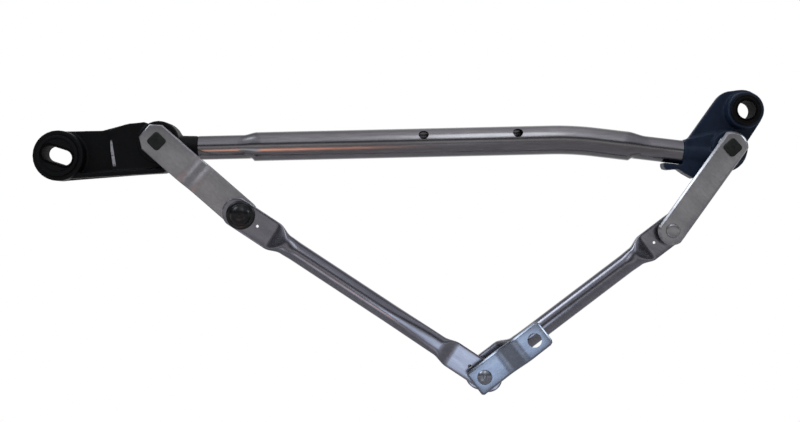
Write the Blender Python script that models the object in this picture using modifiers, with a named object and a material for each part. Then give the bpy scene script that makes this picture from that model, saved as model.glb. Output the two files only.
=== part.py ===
"""Front wiper linkage: frame tube, two pivot housings, crank arms, link rods and motor crank.

The linkage hangs in the XZ plane. The arms are on its -Y side and the spindles' wiper ends on its
+Y side. The origin is the centre of the flat tip of the left spindle.

Plan coordinates are (x, z) in the XZ plane. A level is a distance from the tube's axis towards the
arms' side. plan_frame stands a piece upright that is built as (x, z, level).
"""

from math import acos, asin, atan2, cos, hypot, pi, radians, sin

import bmesh
import bpy
from mathutils import Matrix, Vector

MM = 0.001
FIT = 0.3 * MM  # gap between pieces that touch or slide

# Plan of the pivots, in the pose of the photograph
SPINDLE_SPACING = 449.1 * MM
SPINDLE_DROP = 4.9 * MM
LEFT_ARM_LENGTH = 87.7 * MM
LEFT_ARM_ANGLE = radians(-41.1)
RIGHT_ARM_LENGTH = 79.9 * MM
RIGHT_ARM_ANGLE = radians(234.4)
CRANK_PIN_ALONG = 254.8 * MM
CRANK_PIN_DROP = 181.9 * MM
CRANK_LENGTH = 47.4 * MM
CRANK_ANGLE = radians(38.0)

# Levels, measured from the tube's axis towards the arms' side
TIP_REACH = 75 * MM
ARM_BACK = 16.5 * MM
ARM_THICKNESS = 3.5 * MM
LEFT_ARM_STEP = 6.5 * MM
LEFT_ROD_LEVEL = 23.5 * MM
RIGHT_ROD_LEVEL = 6.5 * MM
CRANK_BACK = 33.5 * MM
CRANK_THICKNESS = 4 * MM
CRANK_STEP = 8 * MM

# Frame tube
TUBE_RADIUS = 11.5 * MM
TUBE_WALL = 1.5 * MM
TUBE_END_RADIUS = 9.5 * MM
TUBE_LEFT_START = 30.5 * MM  # from the left spindle
TUBE_LEFT_DROP = 4.3 * MM
TUBE_BEND_PLACE = 122.1 * MM  # from the right spindle
TUBE_BEND_RISE = 7.3 * MM
TUBE_RIGHT_START = 36 * MM
TUBE_RIGHT_DROP = 2.9 * MM
TUBE_BEND_LENGTH = 36 * MM
LEFT_SWAGE_LENGTH = 38 * MM
RIGHT_SWAGE_LENGTH = 34 * MM
SWAGE_TAPER = 7 * MM
PLATE_HOLE_RADIUS = 4 * MM
PLATE_HOLE_TILT = radians(32)
PLATE_HOLE_PLACE = 166.3 * MM  # of the right one, from the right spindle
PLATE_HOLE_SPACING = 74.3 * MM

# Pivot housings
BARREL_FRONT = 12.5 * MM
BARREL_REAR = 52 * MM
BARREL_SLEEVE_RADIUS = 12.5 * MM
LEFT_BOSS_RADIUS = 16.5 * MM
LEFT_BOSS_DEPTH = 24 * MM
RIGHT_BOSS_RADIUS = 14.2 * MM
RIGHT_SKIRT_RADIUS = 18.4 * MM
RIGHT_SKIRT_FRONT = -3 * MM
RIGHT_SKIRT_REAR = -17 * MM
BARREL_BORE_RADIUS = 8.3 * MM
SPIGOT_LENGTH = 22 * MM
COLLAR_OVERLAP = 6 * MM
PLATE_FRONT = 3 * MM
PLATE_REAR = -3.5 * MM
BODY_FRONT = 9 * MM
BODY_REAR = -10 * MM

# Mounting eyes
EYE_FRONT = 15.5 * MM
EYE_REAR = -4 * MM
LEFT_EYE_REACH = 78.4 * MM  # from the left spindle
LEFT_EYE_DROP = 11 * MM
LEFT_EYE_RADIUS = 19.9 * MM
LEFT_EYE_BORE = 15.2 * MM
RIGHT_EYE_REACH = 11.7 * MM  # from the right spindle
RIGHT_EYE_RISE = 29.7 * MM
RIGHT_EYE_RADIUS = 14.4 * MM
RIGHT_EYE_BORE = 11.2 * MM
RIGHT_EYE_PLATE_RADIUS = 17.0 * MM
GROMMET_LIP = 1.0 * MM
GROMMET_LIP_THICKNESS = 1.8 * MM
SLEEVE_WALL = 1.4 * MM
SLEEVE_PROUD = 0.4 * MM
LEFT_SLOT_HALF_LENGTH = 12.2 * MM
LEFT_SLOT_HALF_WIDTH = 6.0 * MM
LEFT_SLOT_TILT = radians(-18)
RIGHT_SLEEVE_BORE = 7.1 * MM

# Spindles and what they run in
SPINDLE_RADIUS = 6 * MM
SPINDLE_FLANGE_RADIUS = 9 * MM
SPINDLE_FLANGE_THICKNESS = 1.2 * MM
SPINDLE_CONE_START = 57 * MM
SPINDLE_CONE_END = 65 * MM
SPINDLE_CONE_TIP_RADIUS = 5.2 * MM
SPINDLE_THREAD_RADIUS = 4 * MM
SQUARE_SIDE = 11.5 * MM
SQUARE_PROUD = 2 * MM
LEFT_SQUARE_TURN = radians(45)
RIGHT_SQUARE_TURN = radians(42)
BUSH_LENGTH = 14 * MM
BUSH_INSET = 0.6 * MM
WASHER_RADIUS = 10.5 * MM
THRUST_WASHER_THICKNESS = 0.8 * MM
WAVE_WASHER_THICKNESS = 0.5 * MM
WAVE_HEIGHT = 0.15 * MM
WAVE_COUNT = 3
O_RING_SECTION = 0.8 * MM
REAR_WASHER_THICKNESS = 1 * MM
CIRCLIP_RADIUS = 8.2 * MM
CIRCLIP_THICKNESS = 1 * MM
CIRCLIP_GROOVE_DEPTH = 0.8 * MM
CIRCLIP_GAP = 6 * MM

# Crank arms
LEFT_ARM_WIDTH = 24.8 * MM
LEFT_ARM_OVERHANG = 13 * MM
LEFT_ARM_END_WIDTH = 12.7 * MM
LEFT_ARM_CORNER = 8 * MM
LEFT_ARM_SLOPE_START = 34 * MM
LEFT_ARM_SLOPE_END = 44 * MM
RIGHT_ARM_WIDTH = 21.4 * MM
RIGHT_ARM_HUB_RADIUS = 12.9 * MM
RIGHT_ARM_HEAD_RADIUS = 11.3 * MM

# Ball joints
BALL_RADIUS = 7 * MM
STUD_SHANK_RADIUS = 4 * MM
STUD_NECK_RADIUS = 3.5 * MM
STUD_FLANGE_RADIUS = 7.5 * MM
STUD_FLANGE_THICKNESS = 1.2 * MM
RIVET_RADIUS = 5.2 * MM
RIVET_HEIGHT = 1.2 * MM
CAP_RADIUS = 11.25 * MM
CAP_WALL = 1.5 * MM
LOOP_SLACK = 4.9 * MM  # how far the opened pivot drifts over the linkage's travel
REAR_BALL_RADIUS = 5.0 * MM
REAR_NECK_RADIUS = 3.2 * MM

# Link rods
LEFT_ROD_RADIUS = 7.7 * MM
RIGHT_ROD_RADIUS = 7.9 * MM
PADDLE_THICKNESS = 3.2 * MM
OUTER_PADDLE_HALF_WIDTH = 11.6 * MM
LEFT_INNER_PADDLE_HALF_WIDTH = 10.6 * MM
PADDLE_OVERHANG = 15 * MM
LEFT_PADDLE_LENGTH = 29 * MM
RIGHT_PADDLE_LENGTH = 22 * MM
SHOULDER_LENGTH = 13 * MM
LEFT_SPOON_LENGTH = 62 * MM
VENT_DISTANCE = 15.6 * MM
VENT_RADIUS = 1.8 * MM
INNER_VENT_DISTANCE = 13.2 * MM
INNER_VENT_RADIUS = 1.6 * MM

# Motor crank
CRANK_WIDTH = 21.5 * MM
CRANK_PIN_END = 10 * MM
CRANK_HUB_END = 10.7 * MM
CRANK_SLOPE_START = 19.4 * MM
CRANK_SLOPE_END = 34.4 * MM
CRANK_CORNER = 3 * MM
SHAFT_HOLE_FRONT_RADIUS = 5.5 * MM
SHAFT_HOLE_REAR_RADIUS = 6.1 * MM
PIN_HEAD_RADIUS = 5.75 * MM
PIN_HEAD_HEIGHT = 2.6 * MM

ROUND_STEPS = 28
FINE_STEPS = 20


def polar(length, angle):
    return Vector((cos(angle), sin(angle))) * length


def heading(start, end):
    return atan2(end.y - start.y, end.x - start.x)


LEFT_SPINDLE = Vector((0, 0))
RIGHT_SPINDLE = Vector((SPINDLE_SPACING, -SPINDLE_DROP))
LEFT_EYE = LEFT_SPINDLE + Vector((-LEFT_EYE_REACH, -LEFT_EYE_DROP))
RIGHT_EYE = RIGHT_SPINDLE + Vector((RIGHT_EYE_REACH, RIGHT_EYE_RISE))
TUBE_LEFT_END = LEFT_SPINDLE + Vector((TUBE_LEFT_START, -TUBE_LEFT_DROP))
TUBE_BEND = RIGHT_SPINDLE + Vector((-TUBE_BEND_PLACE, TUBE_BEND_RISE))
TUBE_RIGHT_END = RIGHT_SPINDLE + Vector((-TUBE_RIGHT_START, -TUBE_RIGHT_DROP))
LEFT_JOINT = LEFT_SPINDLE + polar(LEFT_ARM_LENGTH, LEFT_ARM_ANGLE)
RIGHT_JOINT = RIGHT_SPINDLE + polar(RIGHT_ARM_LENGTH, RIGHT_ARM_ANGLE)
CRANK_PIN = LEFT_SPINDLE + Vector((CRANK_PIN_ALONG, -CRANK_PIN_DROP))
CRANK_HUB = CRANK_PIN + polar(CRANK_LENGTH, CRANK_ANGLE)
ARM_FRONT = ARM_BACK + ARM_THICKNESS
LEFT_HEAD_BACK = ARM_BACK - LEFT_ARM_STEP
SOCKET_BODY_RADIUS = BALL_RADIUS + FIT + CAP_WALL
LOOSE_CAVITY_RADIUS = REAR_BALL_RADIUS + LOOP_SLACK + FIT
LOOSE_BODY_RADIUS = LOOSE_CAVITY_RADIUS + 1.2 * MM
LOOSE_PADDLE_HALF_WIDTH = LOOSE_BODY_RADIUS + FIT + 1.5 * MM
LEFT_TUBE_HEADING = heading(TUBE_LEFT_END, TUBE_BEND)
RIGHT_TUBE_HEADING = heading(TUBE_BEND, TUBE_RIGHT_END)


def clear_scene():
    for old in list(bpy.data.objects):
        bpy.data.objects.remove(old, do_unlink=True)


def new_collection(name):
    collection = bpy.data.collections.new(name)
    bpy.context.scene.collection.children.link(collection)
    return collection


def linear(hex_colour):
    channels = [int(hex_colour[i:i + 2], 16) / 255 for i in (0, 2, 4)]
    return [c / 12.92 if c <= 0.04045 else ((c + 0.055) / 1.055) ** 2.4 for c in channels]


def finish(name, hex_colour, roughness, metallic=0.0):
    material = bpy.data.materials.new(name)
    material.use_nodes = True
    shader = material.node_tree.nodes["Principled BSDF"]
    shader.inputs["Base Color"].default_value = (*linear(hex_colour), 1.0)
    shader.inputs["Roughness"].default_value = roughness
    shader.inputs["Metallic"].default_value = metallic
    material.diffuse_color = (*linear(hex_colour), 1.0)
    return material


def plan_frame(point, angle=0.0, level=0.0):
    """Frame with X and Y in the plan, turned by the angle, and Z towards the arms' side."""
    place = Matrix.Translation((point.x, -TIP_REACH - level, point.y))
    return place @ Matrix.Rotation(radians(90), 4, "X") @ Matrix.Rotation(angle, 4, "Z")


def lengthwise_frame(point, angle, level=0.0):
    """Frame whose Z axis runs along a direction of the plan."""
    return plan_frame(point, angle, level) @ Matrix.Rotation(radians(90), 4, "Y")


def add_piece(name, data, frame, material=None):
    piece = bpy.data.objects.new(name, data)
    piece.matrix_world = frame
    if material:
        data.materials.append(material)
        PARTS.objects.link(piece)
    else:
        piece.hide_render = True
        piece.display_type = "WIRE"
        CUTTERS.objects.link(piece)
    return piece


def mesh_of(name, sheet):
    mesh = bpy.data.meshes.new(name)
    bmesh.ops.recalc_face_normals(sheet, faces=sheet.faces)
    sheet.to_mesh(mesh)
    sheet.free()
    mesh.shade_smooth()
    mesh.set_sharp_from_angle(angle=radians(35))
    return mesh


def turned(name, profile, frame, material=None, closed=False, steps=ROUND_STEPS):
    """Turns (radius, height) points about Z. They run down the outer side, top to bottom."""
    mesh = bpy.data.meshes.new(name)
    edges = [(i, i + 1) for i in range(len(profile) - 1)]
    if closed:
        edges.append((len(profile) - 1, 0))
    mesh.from_pydata([(radius, 0, height) for radius, height in profile], edges, [])
    piece = add_piece(name, mesh, frame, material)
    screw = piece.modifiers.new("turn", "SCREW")
    screw.steps = steps
    screw.render_steps = steps
    screw.use_merge_vertices = True
    screw.merge_threshold = 0.00001
    screw.use_smooth_shade = True
    return piece


def ring(name, inner, outer, low, high, frame, material=None, steps=ROUND_STEPS):
    profile = [(inner, high), (outer, high), (outer, low), (inner, low)]
    return turned(name, profile, frame, material, closed=True, steps=steps)


def rod(name, radius, low, high, frame, material=None, steps=ROUND_STEPS):
    profile = [(0, high), (radius, high), (radius, low), (0, low)]
    return turned(name, profile, frame, material, steps=steps)


def block(name, size, centre, frame, material=None):
    sheet = bmesh.new()
    bmesh.ops.create_cube(sheet, size=1.0)
    bmesh.ops.scale(sheet, vec=size, verts=sheet.verts)
    bmesh.ops.translate(sheet, vec=centre, verts=sheet.verts)
    return add_piece(name, mesh_of(name, sheet), frame, material)


def plate(name, outlines, low, high, frame, material=None):
    """Flat piece between two levels. The first outline is its edge and the others are holes."""
    curve = bpy.data.curves.new(name, "CURVE")
    curve.dimensions = "2D"
    curve.fill_mode = "BOTH"
    curve.extrude = (high - low) / 2
    for outline in outlines:
        spline = curve.splines.new("POLY")
        spline.points.add(len(outline) - 1)
        for point, (x, y) in zip(spline.points, outline):
            point.co = (x, y, 0, 1)
        spline.use_cyclic_u = True
    middle = Matrix.Translation((0, 0, (low + high) / 2))
    return solid_from_curve(name, curve, frame @ middle, material)


def solid_from_curve(name, curve, frame, material=None):
    """Turns a curve into a welded mesh."""
    guide = add_piece(name + "_curve", curve, frame)
    bpy.context.view_layer.update()
    evaluated = guide.evaluated_get(bpy.context.evaluated_depsgraph_get())
    mesh = bpy.data.meshes.new_from_object(evaluated)
    bpy.data.objects.remove(guide, do_unlink=True)
    sheet = bmesh.new()
    sheet.from_mesh(mesh)
    bmesh.ops.remove_doubles(sheet, verts=sheet.verts, dist=0.00001)
    bpy.data.meshes.remove(mesh)
    return add_piece(name, mesh_of(name, sheet), frame, material)


def loft(name, rings, frame, material=None):
    """Skins rings of equal length into one closed solid."""
    sheet = bmesh.new()
    loops = [[sheet.verts.new(point) for point in one_ring] for one_ring in rings]
    for near, far in zip(loops, loops[1:]):
        for i in range(len(near)):
            j = (i + 1) % len(near)
            sheet.faces.new((near[i], near[j], far[j], far[i]))
    sheet.faces.new(loops[0])
    sheet.faces.new(loops[-1])
    return add_piece(name, mesh_of(name, sheet), frame, material)


def combine(piece, other, operation):
    boolean = piece.modifiers.new(operation.lower() + " " + other.name, "BOOLEAN")
    boolean.operation = operation
    boolean.solver = "EXACT"
    boolean.object = other


def cut(piece, cutter):
    combine(piece, cutter, "DIFFERENCE")


def join(piece, other):
    combine(piece, other, "UNION")


def arc(centre, radius, start, end, steps):
    """Points on an arc about a plan point, with both ends."""
    angles = [start + (end - start) * i / steps for i in range(steps + 1)]
    return [(centre[0] + radius * cos(a), centre[1] + radius * sin(a)) for a in angles]


def slot_outline(half_length, half_width, steps=8):
    """Stadium about the origin, along X."""
    reach = half_length - half_width
    right = arc((reach, 0), half_width, -pi / 2, pi / 2, steps)
    return right + arc((-reach, 0), half_width, pi / 2, 3 * pi / 2, steps)


def sphere_profile(radius, centre, top, bottom, steps):
    """Points of a ball's side between two polar angles, measured from its top."""
    angles = [top + (bottom - top) * i / steps for i in range(steps + 1)]
    return [(radius * sin(a), centre + radius * cos(a)) for a in angles]


def frame_tube_path(margin):
    """Plan points and radius shares from the left end to the right end, run past by the margin."""
    left = Vector((cos(LEFT_TUBE_HEADING), sin(LEFT_TUBE_HEADING)))
    right = Vector((cos(RIGHT_TUBE_HEADING), sin(RIGHT_TUBE_HEADING)))
    path = [(TUBE_LEFT_END - left * margin, "end")]
    path.append((TUBE_LEFT_END + left * LEFT_SWAGE_LENGTH, "end"))
    path.append((TUBE_LEFT_END + left * (LEFT_SWAGE_LENGTH + SWAGE_TAPER), "main"))
    bend_start = TUBE_BEND - left * TUBE_BEND_LENGTH / 2
    bend_end = TUBE_BEND + right * TUBE_BEND_LENGTH / 2
    bend_steps = 6
    for i in range(bend_steps + 1):
        t = i / bend_steps
        point = bend_start * (1 - t) ** 2 + TUBE_BEND * 2 * t * (1 - t) + bend_end * t ** 2
        path.append((point, "main"))
    path.append((TUBE_RIGHT_END - right * (RIGHT_SWAGE_LENGTH + SWAGE_TAPER), "main"))
    path.append((TUBE_RIGHT_END - right * RIGHT_SWAGE_LENGTH, "end"))
    path.append((TUBE_RIGHT_END + right * margin, "end"))
    return path


def tube_solid(name, main_radius, end_radius, margin, material=None):
    path = frame_tube_path(margin)
    curve = bpy.data.curves.new(name, "CURVE")
    curve.dimensions = "3D"
    curve.bevel_depth = main_radius
    curve.bevel_resolution = 10
    curve.use_fill_caps = True
    spline = curve.splines.new("POLY")
    spline.points.add(len(path) - 1)
    for point, (place, kind) in zip(spline.points, path):
        point.co = (place.x, place.y, 0, 1)
        point.radius = 1.0 if kind == "main" else end_radius / main_radius
    return solid_from_curve(name, curve, plan_frame(Vector((0, 0))), material)


def build_frame_tube(steel):
    tube = tube_solid("frame_tube", TUBE_RADIUS, TUBE_END_RADIUS, 0, steel)
    inner = tube_solid("tube_bore", TUBE_RADIUS - TUBE_WALL, TUBE_END_RADIUS - TUBE_WALL, 5 * MM)
    cut(tube, inner)
    right_hole = RIGHT_SPINDLE.x - PLATE_HOLE_PLACE
    for number, along in enumerate((right_hole - PLATE_HOLE_SPACING, right_hole), 1):
        place = TUBE_LEFT_END + polar(along - TUBE_LEFT_END.x, LEFT_TUBE_HEADING)
        tilt = plan_frame(place) @ Matrix.Rotation(-PLATE_HOLE_TILT, 4, "X")
        reach = TUBE_RADIUS * 2
        cut(tube, rod("plate_hole_%d" % number, PLATE_HOLE_RADIUS, -reach, reach, tilt, steps=FINE_STEPS))


def barrel_steps(housing):
    """(radius, level) down the outside of a barrel."""
    if housing == "left":
        return [(LEFT_BOSS_RADIUS, BARREL_FRONT), (LEFT_BOSS_RADIUS, BARREL_FRONT - LEFT_BOSS_DEPTH)]
    return [(RIGHT_BOSS_RADIUS, BARREL_FRONT), (RIGHT_BOSS_RADIUS, RIGHT_SKIRT_FRONT),
            (RIGHT_SKIRT_RADIUS, RIGHT_SKIRT_FRONT - 2 * MM), (RIGHT_SKIRT_RADIUS, RIGHT_SKIRT_REAR)]


def build_barrel(name, housing, frame, material):
    """Barrel, solid until its bore is cut."""
    outside = barrel_steps(housing)
    last = outside[-1][1]
    profile = [(0, BARREL_FRONT)] + outside
    profile += [(BARREL_SLEEVE_RADIUS + 1.5 * MM, last - 4 * MM), (BARREL_SLEEVE_RADIUS, last - 7 * MM),
                (BARREL_SLEEVE_RADIUS, -BARREL_REAR), (0, -BARREL_REAR)]
    return turned(name, profile, frame, material)


def cut_barrel_bore(housing, name, frame):
    cut(housing, rod(name, BARREL_BORE_RADIUS, -BARREL_REAR - 5 * MM, BARREL_FRONT + 5 * MM, frame))


def add_spigot(housing, name, tube_end, angle, collar_length):
    """Collar that the tube butts on, and the spigot inside the tube. The angle points into the tube."""
    frame = lengthwise_frame(tube_end, angle)
    inner = TUBE_END_RADIUS - TUBE_WALL - FIT
    profile = [(0, SPIGOT_LENGTH), (inner - 1 * MM, SPIGOT_LENGTH), (inner, SPIGOT_LENGTH - 1 * MM),
               (inner, -FIT), (TUBE_END_RADIUS, -FIT), (TUBE_END_RADIUS + 1 * MM, -collar_length),
               (0, -collar_length)]
    join(housing, turned(name, profile, frame))


def left_plate_outline():
    """Arm of the left housing, from round the eye to the barrel."""
    top_end, bottom_end = left_boss_points([(-0.73, 0.97), (0, -1.49)])
    top = tangent_angle(LEFT_EYE, LEFT_EYE_RADIUS, top_end, 1)
    bottom = tangent_angle(LEFT_EYE, LEFT_EYE_RADIUS, bottom_end, -1)
    around = arc(LEFT_EYE, LEFT_EYE_RADIUS * 0.99, top, bottom + 2 * pi, 14)
    waist = (LEFT_EYE.x * 0.587, LEFT_EYE.y + LEFT_EYE_RADIUS * 1.02)
    return [tuple(top_end), tuple(left_boss_points([(-1.5, 0.91)])[0]), waist] + around + [tuple(bottom_end)]


def left_boss_points(shares):
    """Plan points about the left spindle, given in radii of its boss."""
    return [LEFT_SPINDLE + Vector(share) * LEFT_BOSS_RADIUS for share in shares]


def right_boss_points(shares):
    """Plan points about the right spindle, given in radii of its boss."""
    return [RIGHT_SPINDLE + Vector(share) * RIGHT_BOSS_RADIUS for share in shares]


def tangent_angle(centre, radius, point, side):
    """Angle on the circle where the line from the point touches it, above (1) or below (-1)."""
    away = point - centre
    return atan2(away.y, away.x) + side * acos(radius / hypot(away.x, away.y))


def build_left_housing(cast):
    pivot = plan_frame(LEFT_SPINDLE)
    eye = plan_frame(LEFT_EYE)
    housing = build_barrel("left_pivot_housing", "left", pivot, cast)
    join(housing, plate("left_arm_plate", [left_plate_outline()], PLATE_REAR, PLATE_FRONT, pivot))
    body = left_boss_points([(-0.73, 0.96), (-1.64, 0.84), (-2.38, 0.58), (-2.27, -1.39), (-0.48, -1.45),
                             (0.24, -1.47), (0.58, -1.24), (0.73, -0.48), (0.61, 0.36)])
    join(housing, plate("left_body", [body], BODY_REAR, BODY_FRONT, pivot))
    rib = [LEFT_EYE + Vector((0.42, -0.905)) * LEFT_EYE_RADIUS]
    rib += left_boss_points([(0.28, -1.48), (0.26, -1.24)])
    rib += [LEFT_EYE + Vector((0.44, -0.704)) * LEFT_EYE_RADIUS]
    join(housing, plate("left_rib", [rib], BODY_REAR + 1 * MM, BODY_FRONT + 2.5 * MM, pivot))
    join(housing, rod("left_eye_boss", LEFT_EYE_RADIUS, EYE_REAR, EYE_FRONT, eye))
    collar = TUBE_LEFT_END.x - COLLAR_OVERLAP
    add_spigot(housing, "left_spigot", TUBE_LEFT_END, LEFT_TUBE_HEADING, collar)
    cut_barrel_bore(housing, "left_barrel_bore", pivot)
    cut(housing, rod("left_eye_bore", LEFT_EYE_BORE, EYE_REAR - 5 * MM, EYE_FRONT + 5 * MM, eye))
    return housing


def right_plate_outline():
    """Web of the right housing, from round the eye down to the tube's collar and the barrel."""
    feet = right_boss_points([(-2.29, 0.4), (-2.19, -0.78), (0.06, -0.78), (1.16, 0.42)])
    right = tangent_angle(RIGHT_EYE, RIGHT_EYE_PLATE_RADIUS, feet[-1], 1)
    around = arc(RIGHT_EYE, RIGHT_EYE_PLATE_RADIUS, right, pi * 0.56, 12)
    lobe_centre = RIGHT_EYE + Vector((-0.365, -0.082)) * RIGHT_EYE_PLATE_RADIUS
    lobe = arc(lobe_centre, RIGHT_EYE_PLATE_RADIUS * 1.05, pi * 0.6, pi * 0.82, 4)
    return [tuple(foot) for foot in feet] + around + lobe


def build_right_housing(cast):
    pivot = plan_frame(RIGHT_SPINDLE)
    plan = plan_frame(Vector((0, 0)))
    eye = plan_frame(RIGHT_EYE)
    housing = build_barrel("right_pivot_housing", "right", pivot, cast)
    join(housing, plate("right_web", [right_plate_outline()], PLATE_REAR, PLATE_FRONT, plan))
    body = right_boss_points([(-2.41, 0.5), (-1.77, 0.67), (-0.64, 0.91), (0.06, 0.77), (0.2, -1.06),
                              (-0.92, -1.45), (-1.94, -1.67), (-2.4, -1.42), (-2.78, -1.15), (-3.3, -1.2),
                              (-3.52, -1.16), (-3.62, -1.0), (-3.61, -0.79), (-2.56, -0.91)])
    join(housing, plate("right_body", [body], BODY_REAR + 1.5 * MM, BODY_FRONT - 1 * MM, plan))
    join(housing, rod("right_eye_boss", RIGHT_EYE_RADIUS, EYE_REAR, EYE_FRONT, eye))
    collar = RIGHT_SPINDLE.x - TUBE_RIGHT_END.x - COLLAR_OVERLAP
    add_spigot(housing, "right_spigot", TUBE_RIGHT_END, RIGHT_TUBE_HEADING + pi, collar)
    cut_barrel_bore(housing, "right_barrel_bore", pivot)
    cut(housing, rod("right_eye_bore", RIGHT_EYE_BORE, EYE_REAR - 5 * MM, EYE_FRONT + 5 * MM, eye))
    return housing


def grommet_profile(bore, hole):
    """Rubber ring that grips both faces of an eye with the given bore."""
    outer = bore - FIT
    lip = bore + GROMMET_LIP
    front, rear = EYE_FRONT + FIT, EYE_REAR - FIT
    return [(hole, front + GROMMET_LIP_THICKNESS), (lip, front + GROMMET_LIP_THICKNESS), (lip, front),
            (outer, front), (outer, rear), (lip, rear), (lip, rear - GROMMET_LIP_THICKNESS),
            (hole, rear - GROMMET_LIP_THICKNESS)]


def build_eye_rings(rubber, steel):
    front = EYE_FRONT + FIT + GROMMET_LIP_THICKNESS
    rear = EYE_REAR - FIT - GROMMET_LIP_THICKNESS
    eye = plan_frame(LEFT_EYE, LEFT_SLOT_TILT)
    profile = grommet_profile(LEFT_EYE_BORE, 0)
    grommet = turned("left_grommet", profile, eye, rubber)
    outer = slot_outline(LEFT_SLOT_HALF_LENGTH + SLEEVE_WALL, LEFT_SLOT_HALF_WIDTH + SLEEVE_WALL)
    margin = SLEEVE_WALL + FIT
    clear = slot_outline(LEFT_SLOT_HALF_LENGTH + margin, LEFT_SLOT_HALF_WIDTH + margin)
    inner = slot_outline(LEFT_SLOT_HALF_LENGTH, LEFT_SLOT_HALF_WIDTH)
    cut(grommet, plate("left_grommet_slot", [clear], rear - 5 * MM, front + 5 * MM, eye))
    low, high = rear - SLEEVE_PROUD, front + SLEEVE_PROUD
    plate("left_grommet_sleeve", [outer, inner], low, high, eye, steel)
    eye = plan_frame(RIGHT_EYE)
    outer = RIGHT_SLEEVE_BORE + SLEEVE_WALL
    turned("right_grommet", grommet_profile(RIGHT_EYE_BORE, outer + FIT), eye, rubber, closed=True)
    ring("right_grommet_sleeve", RIGHT_SLEEVE_BORE, outer, low, high, eye, steel)


def build_spindle(side, centre, turn, steel):
    pivot = plan_frame(centre)
    flange_top = ARM_BACK - FIT
    flange_bottom = flange_top - SPINDLE_FLANGE_THICKNESS
    groove = -circlip_level()
    half = CIRCLIP_THICKNESS / 2 + FIT
    floor = SPINDLE_RADIUS - CIRCLIP_GROOVE_DEPTH
    profile = [(0, flange_top), (SPINDLE_FLANGE_RADIUS, flange_top), (SPINDLE_FLANGE_RADIUS, flange_bottom),
               (SPINDLE_RADIUS, flange_bottom), (SPINDLE_RADIUS, groove + half), (floor, groove + half),
               (floor, groove - half), (SPINDLE_RADIUS, groove - half), (SPINDLE_RADIUS, -SPINDLE_CONE_START),
               (SPINDLE_CONE_TIP_RADIUS, -SPINDLE_CONE_END), (SPINDLE_THREAD_RADIUS, -SPINDLE_CONE_END),
               (SPINDLE_THREAD_RADIUS, -TIP_REACH + 1 * MM), (SPINDLE_THREAD_RADIUS - 0.8 * MM, -TIP_REACH),
               (0, -TIP_REACH)]
    spindle = turned(side + "_spindle", profile, pivot, steel)
    height = ARM_FRONT + SQUARE_PROUD - flange_bottom
    size = (SQUARE_SIDE, SQUARE_SIDE, height)
    centre_of_square = (0, 0, flange_bottom + height / 2)
    join(spindle, block(side + "_square", size, centre_of_square, plan_frame(centre, turn)))


def circlip_level():
    """Depth of the circlip behind the tube's axis."""
    return BARREL_REAR + FIT + REAR_WASHER_THICKNESS + FIT + CIRCLIP_THICKNESS / 2


def build_wave_washer(name, inner, frame, low, steel):
    """Flat ring whose faces rise and fall three times a turn."""
    washer = ring(name, inner, WASHER_RADIUS, low, low + WAVE_WASHER_THICKNESS, frame, steel, FINE_STEPS)
    bpy.context.view_layer.update()
    evaluated = washer.evaluated_get(bpy.context.evaluated_depsgraph_get())
    mesh = bpy.data.meshes.new_from_object(evaluated)
    washer.modifiers.clear()
    washer.data = mesh
    for vertex in mesh.vertices:
        angle = atan2(vertex.co.y, vertex.co.x)
        vertex.co.z += WAVE_HEIGHT * (1 + cos(WAVE_COUNT * angle))


def build_bearings(side, centre, bronze, steel, rubber):
    pivot = plan_frame(centre)
    inner, outer = SPINDLE_RADIUS + FIT, BARREL_BORE_RADIUS - FIT
    front_top = BARREL_FRONT - BUSH_INSET
    rear_bottom = -BARREL_REAR + O_RING_SECTION * 2 + 2 * FIT
    ring(side + "_front_bush", inner, outer, front_top - BUSH_LENGTH, front_top, pivot, bronze, FINE_STEPS)
    ring(side + "_rear_bush", inner, outer, rear_bottom, rear_bottom + BUSH_LENGTH, pivot, bronze, FINE_STEPS)
    wave_low = BARREL_FRONT + FIT
    build_wave_washer(side + "_wave_washer", inner, pivot, wave_low, steel)
    thrust_low = wave_low + WAVE_WASHER_THICKNESS + 2 * WAVE_HEIGHT + FIT
    thrust_high = thrust_low + THRUST_WASHER_THICKNESS
    ring(side + "_thrust_washer", inner, WASHER_RADIUS, thrust_low, thrust_high, pivot, steel, FINE_STEPS)
    middle = (inner + outer) / 2
    section = [(middle + O_RING_SECTION * cos(a), O_RING_SECTION * sin(a))
               for a in (pi / 2 - i * pi / 4 for i in range(8))]
    o_ring_place = plan_frame(centre, 0, -BARREL_REAR + O_RING_SECTION + FIT)
    turned(side + "_o_ring", section, o_ring_place, rubber, closed=True, steps=FINE_STEPS)
    washer_high = -BARREL_REAR - FIT
    washer_low = washer_high - REAR_WASHER_THICKNESS
    ring(side + "_rear_washer", inner, WASHER_RADIUS, washer_low, washer_high, pivot, steel, FINE_STEPS)
    level = -circlip_level()
    clip = ring(side + "_circlip", SPINDLE_RADIUS - CIRCLIP_GROOVE_DEPTH + FIT, CIRCLIP_RADIUS,
                level - CIRCLIP_THICKNESS / 2, level + CIRCLIP_THICKNESS / 2, pivot, steel, FINE_STEPS)
    size = (CIRCLIP_GAP, CIRCLIP_RADIUS * 2, CIRCLIP_THICKNESS * 3)
    cut(clip, block(side + "_circlip_gap", size, (0, -CIRCLIP_RADIUS, level), pivot))


def flat_ring(x, half_width, low, high):
    """Rectangular section of a flat bar at a distance along it."""
    return [(x, -half_width, low), (x, half_width, low), (x, half_width, high), (x, -half_width, high)]


def rounded_end(centre, radius, half_width, facing, steps=5):
    """Distances and half widths of a round end, from its flank to its tip. facing is 1 or -1."""
    start = asin(min(1.0, half_width / radius))
    angles = [start * (1 - i / steps) for i in range(steps)] + [radians(4)]
    return [(centre + facing * radius * cos(a), radius * sin(a)) for a in angles]


def cut_hole(piece, name, radius, frame, half_height):
    cut(piece, rod(name, radius, -half_height, half_height, frame, steps=FINE_STEPS))


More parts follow.
